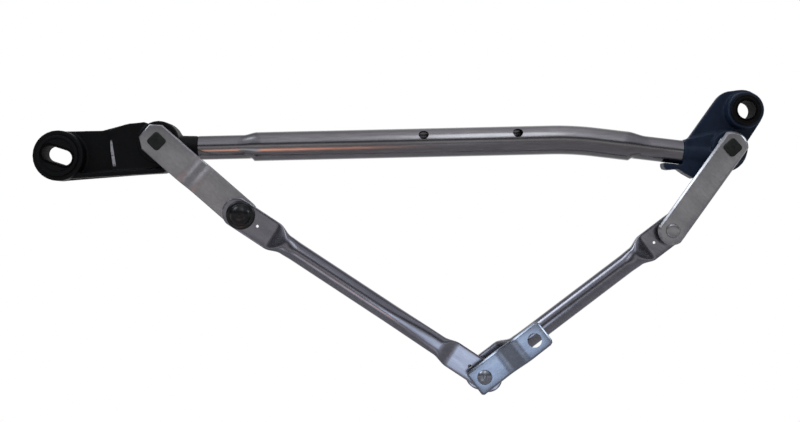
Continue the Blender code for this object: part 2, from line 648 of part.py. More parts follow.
def build_left_arm(steel):
    frame = plan_frame(LEFT_SPINDLE, LEFT_ARM_ANGLE)
    half = LEFT_ARM_WIDTH / 2
    hub_corner = LEFT_ARM_CORNER - LEFT_ARM_OVERHANG
    hub = [(-LEFT_ARM_OVERHANG, LEFT_ARM_END_WIDTH / 2), (hub_corner, half), (LEFT_ARM_SLOPE_START, half)]
    head = [(LEFT_ARM_SLOPE_END, half)] + rounded_end(LEFT_ARM_LENGTH, half, half, 1)
    rings = [flat_ring(x, width, ARM_BACK, ARM_FRONT) for x, width in hub]
    low, high = LEFT_HEAD_BACK, LEFT_HEAD_BACK + ARM_THICKNESS
    rings += [flat_ring(x, width, low, high) for x, width in head]
    arm = loft("left_crank_arm", rings, frame, steel)
    cut_square_hole(arm, "left_square_hole", LEFT_SPINDLE, LEFT_SQUARE_TURN)
    joint = plan_frame(LEFT_JOINT, 0, LEFT_HEAD_BACK + ARM_THICKNESS / 2)
    cut_hole(arm, "left_stud_hole", STUD_SHANK_RADIUS + FIT, joint, ARM_THICKNESS)


def build_right_arm(steel):
    frame = plan_frame(RIGHT_SPINDLE, RIGHT_ARM_ANGLE)
    half = RIGHT_ARM_WIDTH / 2
    hub = rounded_end(0, RIGHT_ARM_HUB_RADIUS, half, -1)
    head = rounded_end(RIGHT_ARM_LENGTH, RIGHT_ARM_HEAD_RADIUS, half, 1)
    rings = [flat_ring(x, width, ARM_BACK, ARM_FRONT) for x, width in hub[::-1] + head]
    arm = loft("right_crank_arm", rings, frame, steel)
    cut_square_hole(arm, "right_square_hole", RIGHT_SPINDLE, RIGHT_SQUARE_TURN)
    joint = plan_frame(RIGHT_JOINT, 0, ARM_BACK + ARM_THICKNESS / 2)
    cut_hole(arm, "right_stud_hole", STUD_SHANK_RADIUS + FIT, joint, ARM_THICKNESS)


def cut_square_hole(arm, name, centre, turn):
    side = SQUARE_SIDE + 2 * FIT
    middle = ARM_BACK + ARM_THICKNESS / 2
    cut(arm, block(name, (side, side, ARM_THICKNESS * 3), (0, 0, middle), plan_frame(centre, turn)))


def stud_profile(ball_height):
    """Ball stud on an arm whose faces lie at 0 and below. The ball is above."""
    shank_low = -ARM_THICKNESS - FIT
    neck_angle = asin(STUD_NECK_RADIUS / BALL_RADIUS)
    profile = sphere_profile(BALL_RADIUS, ball_height, 0, pi - neck_angle, 10)
    profile += [(STUD_NECK_RADIUS, FIT + STUD_FLANGE_THICKNESS + 0.8 * MM),
                (STUD_FLANGE_RADIUS, FIT + STUD_FLANGE_THICKNESS), (STUD_FLANGE_RADIUS, FIT),
                (STUD_SHANK_RADIUS, FIT), (STUD_SHANK_RADIUS, shank_low), (RIVET_RADIUS, shank_low),
                (RIVET_RADIUS - 0.5 * MM, shank_low - RIVET_HEIGHT), (0, shank_low - RIVET_HEIGHT)]
    return profile


def build_arm_studs(steel):
    front = LEFT_HEAD_BACK + ARM_THICKNESS
    profile = stud_profile(LEFT_ROD_LEVEL - front)
    turned("left_arm_ball_stud", profile, plan_frame(LEFT_JOINT, 0, front), steel, steps=FINE_STEPS)
    profile = stud_profile(ARM_BACK - RIGHT_ROD_LEVEL)
    backwards = plan_frame(RIGHT_JOINT, 0, ARM_BACK) @ Matrix.Rotation(pi, 4, "X")
    turned("right_arm_ball_stud", profile, backwards, steel, steps=FINE_STEPS)


def socket_outside(half_plate, body_radius, flange_radius, flange_height, lip):
    """Outer side of a socket from its flange, through the paddle's hole, to the rim of its mouth."""
    seat = half_plate + FIT
    body = body_radius
    return [(flange_radius, flange_height), (flange_radius, seat), (body, seat), (body, -seat),
            (body + lip, -seat), (body + lip, -seat - 1.2 * MM), (body, -seat - 2.6 * MM)]


def closed_socket_profile():
    """Plastic cup that closes over the ball. The ball's centre is at 0 and the mouth is below."""
    cavity = BALL_RADIUS + FIT
    mouth = acos(-0.6)
    dome = sphere_profile(cavity + CAP_WALL + 0.4 * MM, 0, 0, radians(58), 5)
    rim = socket_outside(PADDLE_THICKNESS / 2, SOCKET_BODY_RADIUS, CAP_RADIUS, 3.4 * MM, 1.0 * MM)
    return dome + rim + sphere_profile(cavity, 0, mouth, 0, 8)


def ring_socket_profile():
    """Plastic ring open at both ends, so that the pin runs on to the second rod."""
    cavity = BALL_RADIUS + FIT
    mouth = acos(-0.6)
    flange = SOCKET_BODY_RADIUS + 1.2 * MM
    rim = socket_outside(PADDLE_THICKNESS / 2, SOCKET_BODY_RADIUS, flange, 3.0 * MM, 0.8 * MM)
    shoulder = [(SOCKET_BODY_RADIUS - 0.6 * MM, cavity * 0.6 + 0.4 * MM)]
    return shoulder + rim + sphere_profile(cavity, 0, mouth, pi - mouth, 8)


def loose_socket_profile():
    """Wide cup at the opened pivot: the pin's rear ball can drift in it by the loop's slack."""
    height = REAR_BALL_RADIUS + FIT
    top = height + 1.3 * MM
    body = LOOSE_BODY_RADIUS
    dome = [(0, top), (body * 0.55, top), (body * 0.9, top - 1.6 * MM), (body, top - 3.4 * MM)]
    seat = PADDLE_THICKNESS / 2 + FIT
    rim = [(body, -seat - 1.6 * MM), (body - 1.0 * MM, -seat - 2.4 * MM)]
    mouth = REAR_NECK_RADIUS + LOOP_SLACK + FIT
    inside = [(mouth, -seat - 2.4 * MM), (LOOSE_CAVITY_RADIUS, -seat - 0.8 * MM),
              (LOOSE_CAVITY_RADIUS, height - 1.5 * MM), (LOOSE_CAVITY_RADIUS * 0.85, height), (0, height)]
    return dome + rim + inside


def build_sockets(plastic):
    """The left rod's sockets face the arms' side, and the right rod's face away from it."""
    place = plan_frame(LEFT_JOINT, 0, LEFT_ROD_LEVEL)
    turned("left_rod_outer_socket", closed_socket_profile(), place, plastic, steps=FINE_STEPS)
    place = plan_frame(CRANK_PIN, 0, LEFT_ROD_LEVEL)
    turned("left_rod_inner_socket", ring_socket_profile(), place, plastic, closed=True, steps=FINE_STEPS)
    away = Matrix.Rotation(pi, 4, "X")
    place = plan_frame(RIGHT_JOINT, 0, RIGHT_ROD_LEVEL) @ away
    turned("right_rod_outer_socket", closed_socket_profile(), place, plastic, steps=FINE_STEPS)
    place = plan_frame(CRANK_PIN, 0, RIGHT_ROD_LEVEL) @ away
    turned("right_rod_inner_socket", loose_socket_profile(), place, plastic, steps=ROUND_STEPS)


def oval_ring(x, half_width, half_thickness, squareness, sides=20):
    """Section of a flattened tube: squareness 2 is an ellipse, and more gives flatter sides."""
    points = []
    for i in range(sides):
        angle = 2 * pi * (i + 0.5) / sides
        across, up = cos(angle), sin(angle)
        y = half_width * abs(across) ** (2 / squareness) * (1 if across > 0 else -1)
        z = half_thickness * abs(up) ** (2 / squareness) * (1 if up > 0 else -1)
        points.append((x, y, z))
    return points


def paddle_rings(half_width, overhang, spoon_length, radius, paddle):
    """Rings from a paddle's tip at -overhang, past the joint at 0, to the round tube."""
    flat = PADDLE_THICKNESS / 2
    tip_radius = half_width * 1.02
    tip = rounded_end(tip_radius - overhang, tip_radius, half_width * 0.98, -1)
    rings = [(x, width, flat, 7.0) for x, width in tip[::-1]]
    rings.append((paddle, half_width, flat, 7.0))
    narrow = paddle + SHOULDER_LENGTH
    rings.append(((paddle + narrow) / 2, (half_width + radius) / 2, flat + radius * 0.22, 3.5))
    neck_height = radius * 0.62 if spoon_length > SHOULDER_LENGTH else radius * 0.85
    rings.append((narrow, radius * 1.06, neck_height, 2.4))
    rings.append((paddle + max(spoon_length, SHOULDER_LENGTH * 1.6), radius, radius, 2.0))
    return rings


def build_rod(name, outer_joint, level, radius, paddle, inner, steel):
    """Flattened tube from an arm's joint to the crank pin. inner is half width, spoon, hole and overhang."""
    length = (CRANK_PIN - outer_joint).length
    near = paddle_rings(OUTER_PADDLE_HALF_WIDTH, PADDLE_OVERHANG, SHOULDER_LENGTH, radius, paddle)
    far = paddle_rings(inner[0], inner[3], inner[1], radius, paddle)
    rings = [oval_ring(*one) for one in near]
    rings += [oval_ring(length - x, width, thick, square) for x, width, thick, square in far[::-1]]
    direction = heading(outer_joint, CRANK_PIN)
    piece = loft(name, rings, plan_frame(outer_joint, direction, level), steel)
    outer_hole = SOCKET_BODY_RADIUS + FIT
    cut_hole(piece, name + "_outer_hole", outer_hole, plan_frame(outer_joint, 0, level), PADDLE_THICKNESS)
    cut_hole(piece, name + "_inner_hole", inner[2] + FIT, plan_frame(CRANK_PIN, 0, level), PADDLE_THICKNESS)
    vent = outer_joint + polar(VENT_DISTANCE, direction)
    cut_hole(piece, name + "_outer_vent", VENT_RADIUS, plan_frame(vent, 0, level), PADDLE_THICKNESS)
    return piece


def build_rods(steel):
    ring_end = (LEFT_INNER_PADDLE_HALF_WIDTH, LEFT_SPOON_LENGTH, SOCKET_BODY_RADIUS, PADDLE_OVERHANG)
    left = build_rod("left_link_rod", LEFT_JOINT, LEFT_ROD_LEVEL, LEFT_ROD_RADIUS, LEFT_PADDLE_LENGTH,
                     ring_end, steel)
    vent = CRANK_PIN + polar(INNER_VENT_DISTANCE, heading(CRANK_PIN, LEFT_JOINT))
    vent_place = plan_frame(vent, 0, LEFT_ROD_LEVEL)
    cut_hole(left, "left_inner_vent", INNER_VENT_RADIUS, vent_place, PADDLE_THICKNESS)
    half_width = LOOSE_PADDLE_HALF_WIDTH
    loose_end = (half_width, SHOULDER_LENGTH, LOOSE_BODY_RADIUS, half_width + 1 * MM)
    build_rod("right_link_rod", RIGHT_JOINT, RIGHT_ROD_LEVEL, RIGHT_ROD_RADIUS, RIGHT_PADDLE_LENGTH,
              loose_end, steel)


def build_crank(steel):
    frame = plan_frame(CRANK_PIN, CRANK_ANGLE)
    half = CRANK_WIDTH / 2
    corner = CRANK_CORNER
    end = CRANK_LENGTH + CRANK_HUB_END
    pin_part = [(-CRANK_PIN_END, half - corner / 2), (-CRANK_PIN_END + corner / 2, half),
                (CRANK_SLOPE_START, half)]
    hub_part = [(CRANK_SLOPE_END, half), (end - corner, half), (end - corner * 0.3, half - corner * 0.3),
                (end, half - corner)]
    low, high = CRANK_BACK, CRANK_BACK + CRANK_THICKNESS
    rings = [flat_ring(x, width, low, high) for x, width in pin_part]
    low, high = low + CRANK_STEP, high + CRANK_STEP
    rings += [flat_ring(x, width, low, high) for x, width in hub_part]
    crank = loft("motor_crank", rings, frame, steel)
    pin_place = plan_frame(CRANK_PIN, 0, CRANK_BACK)
    cut_hole(crank, "crank_pin_hole", STUD_SHANK_RADIUS + FIT, pin_place, CRANK_THICKNESS * 2)
    middle = CRANK_BACK + CRANK_STEP + CRANK_THICKNESS / 2
    reach = CRANK_THICKNESS
    taper = (SHAFT_HOLE_REAR_RADIUS - SHAFT_HOLE_FRONT_RADIUS) / CRANK_THICKNESS
    mean = (SHAFT_HOLE_REAR_RADIUS + SHAFT_HOLE_FRONT_RADIUS) / 2
    profile = [(0, reach), (mean - taper * reach, reach), (mean + taper * reach, -reach), (0, -reach)]
    cut(crank, turned("shaft_hole", profile, plan_frame(CRANK_HUB, 0, middle)))


def build_crank_pin(steel):
    """Rivet head, then the ball in the left rod and the smaller ball in the right rod behind it."""
    head_low = CRANK_BACK + CRANK_THICKNESS + FIT
    flange_high = CRANK_BACK - FIT
    neck_angle = asin(STUD_NECK_RADIUS / BALL_RADIUS)
    lower_angle = pi - asin(REAR_NECK_RADIUS / BALL_RADIUS)
    rear_angle = asin(REAR_NECK_RADIUS / REAR_BALL_RADIUS)
    profile = [(0, head_low + PIN_HEAD_HEIGHT), (1.2 * MM, head_low + PIN_HEAD_HEIGHT),
               (1.5 * MM, head_low + PIN_HEAD_HEIGHT * 0.72),
               (PIN_HEAD_RADIUS * 0.7, head_low + PIN_HEAD_HEIGHT * 0.55),
               (PIN_HEAD_RADIUS, head_low), (STUD_SHANK_RADIUS, head_low), (STUD_SHANK_RADIUS, flange_high),
               (STUD_FLANGE_RADIUS, flange_high), (STUD_FLANGE_RADIUS, flange_high - STUD_FLANGE_THICKNESS),
               (STUD_NECK_RADIUS, flange_high - STUD_FLANGE_THICKNESS - 0.8 * MM)]
    profile += sphere_profile(BALL_RADIUS, LEFT_ROD_LEVEL, neck_angle, lower_angle, 9)
    profile += sphere_profile(REAR_BALL_RADIUS, RIGHT_ROD_LEVEL, rear_angle, pi, 9)
    turned("crank_double_ball_pin", profile, plan_frame(CRANK_PIN), steel, steps=FINE_STEPS)


clear_scene()
PARTS = new_collection("wiper_linkage")
CUTTERS = new_collection("wiper_linkage_cutters")

PLATED_STEEL = finish("zinc plated steel tube", "8E8C8C", 0.38, 0.9)
CAST = finish("black coated die casting", "202224", 0.5)
RUBBER = finish("black rubber", "181818", 0.75)
DARK_STEEL = finish("dark phosphated steel", "45484A", 0.45, 0.8)
BRIGHT_STEEL = finish("bright steel", "A9ACAF", 0.3, 1.0)
ARM_STEEL = finish("zinc plated arm steel", "85868A", 0.35, 0.9)
ROD_STEEL = finish("zinc plated rod steel", "6E6E74", 0.32, 0.9)
CRANK_STEEL = finish("zinc plated crank steel", "A4B2C2", 0.32, 0.9)
BRONZE = finish("sintered bronze", "8A6A3C", 0.5, 0.9)
PLASTIC = finish("black socket plastic", "1B1C20", 0.4)

build_frame_tube(PLATED_STEEL)
build_left_housing(CAST)
build_right_housing(CAST)
build_eye_rings(RUBBER, DARK_STEEL)
build_spindle("left", LEFT_SPINDLE, LEFT_SQUARE_TURN, DARK_STEEL)
build_spindle("right", RIGHT_SPINDLE, RIGHT_SQUARE_TURN, DARK_STEEL)
build_bearings("left", LEFT_SPINDLE, BRONZE, BRIGHT_STEEL, RUBBER)
build_bearings("right", RIGHT_SPINDLE, BRONZE, BRIGHT_STEEL, RUBBER)
build_left_arm(ARM_STEEL)
build_right_arm(ARM_STEEL)
build_arm_studs(BRIGHT_STEEL)
build_sockets(PLASTIC)
build_rods(ROD_STEEL)
build_crank(CRANK_STEEL)
build_crank_pin(BRIGHT_STEEL)
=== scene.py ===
"""Looks of the wiper linkage: zinc plated tube and pressings, black castings, rubber and moulded plastic.

A place in the plan is (x, z) in millimetres from the left spindle. A level is a distance in millimetres
from the frame tube's axis towards the crank arms' side. Each mesh is shaped in millimetres in its own
local frame and turned into the model's frame, in metres, when it is finished.
"""

from math import acos, asin, atan2, cos, pi, radians, sin, sqrt, tan

import bmesh
import bpy
from mathutils import Matrix, Vector


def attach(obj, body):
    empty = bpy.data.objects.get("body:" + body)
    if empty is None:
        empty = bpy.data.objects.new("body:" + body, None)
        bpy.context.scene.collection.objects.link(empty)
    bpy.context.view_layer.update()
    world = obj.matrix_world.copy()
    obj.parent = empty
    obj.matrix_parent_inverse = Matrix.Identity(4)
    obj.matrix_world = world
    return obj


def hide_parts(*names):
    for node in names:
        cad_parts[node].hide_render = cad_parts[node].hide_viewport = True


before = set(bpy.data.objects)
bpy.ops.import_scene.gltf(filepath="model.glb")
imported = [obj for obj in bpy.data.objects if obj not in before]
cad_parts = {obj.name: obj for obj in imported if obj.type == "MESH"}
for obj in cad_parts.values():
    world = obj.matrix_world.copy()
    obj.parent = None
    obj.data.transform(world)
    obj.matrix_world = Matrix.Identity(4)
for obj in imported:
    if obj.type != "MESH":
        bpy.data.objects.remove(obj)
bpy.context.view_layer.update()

# Plan of the pivots
LEFT_SPINDLE = Vector((0.0, 0.0))
RIGHT_SPINDLE = Vector((449.1, -4.9))
LEFT_ARM_LENGTH, LEFT_ARM_ANGLE = 87.7, radians(-41.1)
RIGHT_ARM_LENGTH, RIGHT_ARM_ANGLE = 79.9, radians(234.4)
CRANK_PIN = Vector((254.8, -181.9))
CRANK_LENGTH, CRANK_ANGLE = 47.4, radians(38.0)
LEFT_EYE = Vector((-78.4, -11.0))
RIGHT_EYE = Vector((460.8, 24.8))
TUBE_LEFT_END = Vector((30.5, -4.3))
TUBE_BEND = Vector((327.0, 2.4))
TUBE_RIGHT_END = Vector((413.1, -7.8))

# Levels
TIP_REACH = 75.0
ARM_BACK, ARM_FRONT = 16.5, 20.0
LEFT_HEAD_BACK = 10.0
LEFT_ROD_LEVEL, RIGHT_ROD_LEVEL = 23.5, 6.5
CRANK_BACK, CRANK_THICKNESS, CRANK_STEP = 33.5, 4.0, 8.0
EYE_FRONT, EYE_REAR = 15.5, -4.0
FRONT_BUSH, REAR_BUSH = (-2.1, 11.9), (-49.8, -35.8)
WAVE_WASHER, THRUST_WASHER, REAR_WASHER = (12.8, 13.3), (13.9, 14.7), (-53.3, -52.3)
O_RING_LEVEL = -50.9
CIRCLIP = (-54.6, -53.6)
CONE_TOP, CONE_LENGTH = -57.6, 7.0

# Sizes that several pieces share
FIT = 0.3
GROMMET_FRONT, GROMMET_REAR = EYE_FRONT + FIT + 1.8, EYE_REAR - FIT - 1.8
SLEEVE_FRONT, SLEEVE_REAR = GROMMET_FRONT + 0.4, GROMMET_REAR - 0.4
TUBE_RADIUS, TUBE_END_RADIUS, TUBE_WALL = 11.5, 9.5, 1.5
BALL_RADIUS, REAR_BALL_RADIUS = 7.0, 5.0
BALL_NECK_RADIUS, REAR_NECK_RADIUS = 3.5, 3.2
SOCKET_RADIUS = 8.8
LOOSE_CAVITY_RADIUS = 10.2
LOOSE_SOCKET_RADIUS = 11.4
PADDLE_THICKNESS, PADDLE_OVERHANG = 3.2, 15.0
OUTER_VENT, OUTER_VENT_RADIUS = 15.6, 1.1
SPINDLE_RADIUS = 6.0
BUSH_RADIUS = 8.0
WASHER_RADIUS = 10.5
SQUARE_SIDE, SQUARE_FOOT, SQUARE_TOP = 11.5, 15.0, 22.0
STRIP_THICKNESS = 3.5
PLATE_HOLES, PLATE_HOLE_RADIUS, PLATE_HOLE_TILT = (208.5, 282.8), 4.0, radians(32)

# Swage of each tube end: where it starts, how long it is below, how much earlier and longer on top
LEFT_SWAGE = (41.3, 2.6, 6, 8.4)
RIGHT_SWAGE = (38.5, 3.3, 9, 11.2)
# How much earlier and longer both are at their front and rear
SWAGE_SIDES = (5, 10)


def polar(length, angle):
    return Vector((cos(angle), sin(angle))) * length


def heading(start, end):
    return atan2(end.y - start.y, end.x - start.x)


LEFT_JOINT = LEFT_SPINDLE + polar(LEFT_ARM_LENGTH, LEFT_ARM_ANGLE)
RIGHT_JOINT = RIGHT_SPINDLE + polar(RIGHT_ARM_LENGTH, RIGHT_ARM_ANGLE)
CRANK_HUB = CRANK_PIN + polar(CRANK_LENGTH, CRANK_ANGLE)
LEFT_ROD_ANGLE = heading(LEFT_JOINT, CRANK_PIN)
FACING_AWAY = Matrix.Rotation(pi, 4, "X")


def plan_frame(point, angle=0.0, level=0.0):
    """Frame with X and Y in the plan, turned by the angle, and Z towards the arms' side."""
    place = Matrix.Translation((point[0], -TIP_REACH - level, point[1]))
    return place @ Matrix.Rotation(radians(90), 4, "X") @ Matrix.Rotation(angle, 4, "Z")


def linear(hex_colour):
    channels = [int(hex_colour[i:i + 2], 16) / 255 for i in (0, 2, 4)]
    return (*[c / 12.92 if c <= 0.04045 else ((c + 0.055) / 1.055) ** 2.4 for c in channels], 1.0)


def add(tree, kind, settings=(), links=()):
    """Adds a node, with its settings and what its inputs are linked to."""
    node = tree.nodes.new(kind)
    for key, value in dict(settings).items():
        if isinstance(key, int) or key in node.inputs:
            node.inputs[key].default_value = value
        else:
            setattr(node, key, value)
    for key, source in dict(links).items():
        tree.links.new(source, node.inputs[key])
    return node


def surface(name, base, stain, metallic, roughness, patch_mm, grain_mm, bump_mm,
            angle=0.0, drawn=1.0, gloss=None):
    """Finish with stains of one size and a finer grain, both drawn out along an angle of the plan.

    Most of the real grains are finer than here. They are drawn as coarse as they need to be to show.
    """
    material = bpy.data.materials.new(name)
    material.use_nodes = True
    tree = material.node_tree
    shader = tree.nodes["Principled BSDF"]
    shader.inputs["Metallic"].default_value = metallic
    if gloss is not None:
        shader.inputs["Specular IOR Level"].default_value = gloss
    place = add(tree, "ShaderNodeTexCoord")
    along = add(tree, "ShaderNodeMapping",
                {"vector_type": "TEXTURE", "Rotation": (0, -angle, 0), "Scale": (drawn, 1, 1)},
                {"Vector": place.outputs["Object"]})
    patch = add(tree, "ShaderNodeTexNoise", {"Scale": 1000 / patch_mm, "Detail": 4.0, "Roughness": 0.6},
                {"Vector": along.outputs[0]})
    grain = add(tree, "ShaderNodeTexNoise", {"Scale": 1000 / grain_mm, "Detail": 2.0, "Roughness": 0.5},
                {"Vector": along.outputs[0]})
    share = add(tree, "ShaderNodeMapRange", {"From Min": 0.35, "From Max": 0.68},
                {"Value": patch.outputs[0]})
    colour = add(tree, "ShaderNodeMix", {"data_type": "RGBA", 6: linear(base), 7: linear(stain)},
                 {0: share.outputs[0]})
    fine = add(tree, "ShaderNodeMapRange",
               {"From Min": 0.3, "From Max": 0.7, "To Min": 0.9, "To Max": 1.08},
               {"Value": grain.outputs[0]})
    speckled = add(tree, "ShaderNodeMix", {"data_type": "RGBA", "blend_type": "MULTIPLY", 0: 1.0},
                   {6: colour.outputs[2], 7: fine.outputs[0]})
    tree.links.new(speckled.outputs[2], shader.inputs["Base Color"])
    rough = add(tree, "ShaderNodeMapRange", {"To Min": roughness[0], "To Max": roughness[1]},
                {"Value": patch.outputs[0]})
    tree.links.new(rough.outputs[0], shader.inputs["Roughness"])
    bump = add(tree, "ShaderNodeBump", {"Strength": 1.0, "Distance": bump_mm / 1000},
               {"Height": grain.outputs[0]})
    tree.links.new(bump.outputs[0], shader.inputs["Normal"])
    return material


def lay_wear_and_highlight(material, mask, bare_and_highlight_tone):
    """Lays a tone over the base colour where the mask is 1: bare metal where a coating is worn, and a
    painted highlight on a casting's step edge.
    """
    tree = material.node_tree
    colour = tree.nodes["Principled BSDF"].inputs["Base Color"]
    wear_and_highlight = add(tree, "ShaderNodeMix", {"data_type": "RGBA", 7: linear(bare_and_highlight_tone)},
               {0: mask.outputs[0], 6: colour.links[0].from_socket})
    tree.links.new(wear_and_highlight.outputs[2], colour)


def rub_corners(material, bare_and_highlight_tone):
    """A coating is rubbed thin on a casting's corners."""
    tree = material.node_tree
    shape = add(tree, "ShaderNodeNewGeometry")
    corner = add(tree, "ShaderNodeMapRange", {"From Min": 0.52, "From Max": 0.6},
                 {"Value": shape.outputs["Pointiness"]})
    lay_wear_and_highlight(material, corner, bare_and_highlight_tone)


def paint_highlight_line(material, bare_and_highlight_tone, centre, tilt, half_length, half_width, front):
    """Paints a short bright line on the front of a piece: a painted highlight for the glint on a step's
    edge. The line is upright before it is tilted.
    """
    tree = material.node_tree
    place = add(tree, "ShaderNodeTexCoord")
    local = add(tree, "ShaderNodeMapping",
                {"vector_type": "TEXTURE", "Location": centre, "Rotation": (0, tilt, 0)},
                {"Vector": place.outputs["Object"]})
    axes = add(tree, "ShaderNodeSeparateXYZ", {}, {0: local.outputs[0]})
    line_breakup = add(tree, "ShaderNodeTexNoise", {"Scale": 700.0, "Detail": 2.0},
                 {"Vector": place.outputs["Object"]})
    mask = add(tree, "ShaderNodeMapRange", {"From Min": 0.3, "From Max": 0.42},
               {"Value": line_breakup.outputs[0]})
    for axis, reach in (("X", half_width), ("Z", half_length)):
        size = add(tree, "ShaderNodeMath", {"operation": "ABSOLUTE"}, {0: axes.outputs[axis]})
        inside = add(tree, "ShaderNodeMapRange", {"From Min": reach, "From Max": reach * 0.8},
                     {"Value": size.outputs[0]})
        mask = add(tree, "ShaderNodeMath", {"operation": "MULTIPLY"},
                   {0: mask.outputs[0], 1: inside.outputs[0]})
    facing = add(tree, "ShaderNodeMath", {"operation": "LESS_THAN", 1: front}, {0: axes.outputs["Y"]})
    mask = add(tree, "ShaderNodeMath", {"operation": "MULTIPLY"},
               {0: mask.outputs[0], 1: facing.outputs[0]})
    lay_wear_and_highlight(material, mask, bare_and_highlight_tone)


FINISHES = {
    # cold drawn tube, zinc plated: fine lines along it and cloudy passivation
    "tube_steel": surface("zinc plated drawn tube", "918F90", "827F80", 1.0, (0.16, 0.26), 10, 1.2, 0.003,
                          drawn=9),
    # gravity die casting under black coating: slightly pitted, half matt
    "cast_housing": surface("black coated die casting", "08090A", "0D0E10", 0.0, (0.42, 0.6), 9, 1.1, 0.1,
                            gloss=0.16),
    # moulded rubber: matt with a soft sheen
    "rubber": surface("moulded black rubber", "08080A", "0E0E0F", 0.0, (0.55, 0.75), 7, 0.8, 0.04,
                      gloss=0.2),
    # phosphated forging: dull dark grey
    "dark_steel": surface("phosphated spindle steel", "2E302E", "242624", 0.3, (0.42, 0.6), 4, 0.7, 0.05,
                          gloss=0.3),
    # oiled sinter bronze: brown and grainy, with a dull metal sheen
    "bush_bronze": surface("oiled sinter bronze", "8A6A3C", "6D5433", 1.0, (0.45, 0.6), 4, 0.6, 0.04),
    # ground steel, dulled by handling: light, with soft highlights
    "bright_steel": surface("ground bright steel", "9A9CA2", "8A8D92", 1.0, (0.24, 0.34), 5, 0.6, 0.004),
    # sheared and pressed strip, zinc plated: pale and cloudy, with soft lines along it
    "arm_steel": surface("zinc plated pressed strip", "ACABAC", "9D9C9E", 1.0, (0.26, 0.36), 9, 0.9, 0.004,
                         LEFT_ARM_ANGLE, 3),
    # welded tube pressed flat at its ends, zinc plated: glossier than the strip, with long streaks
    "rod_steel": surface("zinc plated pressed tube", "8C8B91", "7F7E85", 1.0, (0.18, 0.28), 9, 1.1, 0.003,
                         LEFT_ROD_ANGLE, 7),
    # moulded acetal: black, with a clear sheen on its rounded faces
    "socket_plastic": surface("moulded black acetal", "090A0C", "0E0F11", 0.0, (0.24, 0.34), 6, 0.9, 0.015,
                              gloss=0.4),
    # thicker strip; its bluish tone is painted light, for the bluish light that falls on the crank
    "crank_steel": surface("pressed strip with painted blue light", "8D949F", "808795", 1.0, (0.24, 0.34), 8, 0.9,
                           0.003, CRANK_ANGLE, 3),
}
# painted light: a copy of the black casting for the right one, tinted blue for the bluish light that falls
# on it
BLUE_LIT_CASTING = surface("black coated die casting with painted blue light", "162338", "1F2D42", 0.0, (0.4, 0.58), 9, 1.1, 0.1,
                       gloss=0.22)
# steel sleeves with a black oxide, hardly lighter than the rubber round them
BLACKENED = surface("blackened sleeve steel", "0C0C0D", "080809", 0.0, (0.6, 0.75), 4, 0.7, 0.02,
                    gloss=0.06)
rub_corners(FINISHES["cast_housing"], "222426")
# the rubbed corners of the copy with painted blue light are tinted blue too
rub_corners(BLUE_LIT_CASTING, "374453")
# painted highlight: a bright line on the left casting, where a glint falls on the edge of its step
paint_highlight_line(FINISHES["cast_housing"], "B4B4B6", centre=(-0.0367, 0, -0.0089), tilt=radians(-9.1),
       half_length=0.0108, half_width=0.0013, front=-0.0815)


def round_edges(sheet, width, segments=3, above=radians(32), chosen=None):
    """Rounds the sharp edges, or those that the test picks."""
    edges = [edge for edge in sheet.edges if len(edge.link_faces) == 2
             and edge.calc_face_angle() > above and (chosen is None or chosen(edge))]
    bmesh.ops.bevel(sheet, geom=edges, offset=width, offset_type="OFFSET", affect="EDGES",
                    segments=segments, profile=0.5, material=-1, clamp_overlap=True)


def turned(profile, closed=False, steps=72):
    """Turned or moulded round piece from (radius, height) points."""
    sheet = bmesh.new()
    points = [sheet.verts.new((radius, 0, height)) for radius, height in profile]
    pairs = list(zip(points, points[1:] + points[:1] if closed else points[1:]))
    lines = [sheet.edges.new(pair) for pair in pairs]
    bmesh.ops.spin(sheet, geom=points + lines, cent=(0, 0, 0), axis=(0, 0, 1), angle=2 * pi, steps=steps,
                   use_merge=True)
    bmesh.ops.remove_doubles(sheet, verts=sheet.verts, dist=0.001)
    bmesh.ops.recalc_face_normals(sheet, faces=sheet.faces)
    return sheet


def washer(inner, outer, low, high, chamfer=0.15, steps=72):
    """Flat ring with its corners broken."""
    return turned([(inner + chamfer, high), (outer - chamfer, high), (outer, high - chamfer),
                   (outer, low + chamfer), (outer - chamfer, low), (inner + chamfer, low),
                   (inner, low + chamfer), (inner, high - chamfer)], closed=True, steps=steps)


def extrude_up(sheet, faces, height):
    """Makes flat faces into a solid of the given height."""
    raised = bmesh.ops.extrude_face_region(sheet, geom=faces)
    corners = [item for item in raised["geom"] if isinstance(item, bmesh.types.BMVert)]
    bmesh.ops.translate(sheet, vec=(0, 0, height), verts=corners)
    bmesh.ops.recalc_face_normals(sheet, faces=sheet.faces)


def slab(outline, low, high):
    """Flat piece between two levels."""
    sheet = bmesh.new()
    face = sheet.faces.new([sheet.verts.new((x, y, low)) for x, y in outline])
    extrude_up(sheet, [face], high - low)
    return sheet


def pressing(outline, side, thickness, bend_round, coined, back_round):
    """Strip cut to an outline, bent across it and coined along its front edges.

    side is its back's side view, in (distance, level) points.
    """
    sheet = bmesh.new()
    sheet.faces.new([sheet.verts.new((x, y, 0)) for x, y in outline])
    for x, level in side[1:-1]:
        bmesh.ops.bisect_plane(sheet, geom=sheet.faces[:] + sheet.edges[:] + sheet.verts[:], dist=0.0001,
                               plane_co=(x, 0, 0), plane_no=(1, 0, 0))
    for corner in sheet.verts:
        for (near, low), (far, high) in zip(side, side[1:]):
            if near - 0.001 <= corner.co.x <= far + 0.001:
                corner.co.z = low + (high - low) * (corner.co.x - near) / (far - near)
    sheet.normal_update()
    creases = [edge for edge in sheet.edges if len(edge.link_faces) == 2 and edge.calc_face_angle() > 0.05]
    if creases:
        bmesh.ops.bevel(sheet, geom=creases, offset=bend_round, offset_type="OFFSET", affect="EDGES",
                        segments=10, profile=0.5, material=-1)
    extrude_up(sheet, sheet.faces[:], thickness)
    round_edges(sheet, back_round, 3, radians(50),
                lambda edge: min(face.normal.z for face in edge.link_faces) < -0.5)
    round_edges(sheet, coined, 1, radians(50),
                lambda edge: max(face.normal.z for face in edge.link_faces) > 0.5)
    round_edges(sheet, coined * 0.2, 3, radians(40))
    return sheet


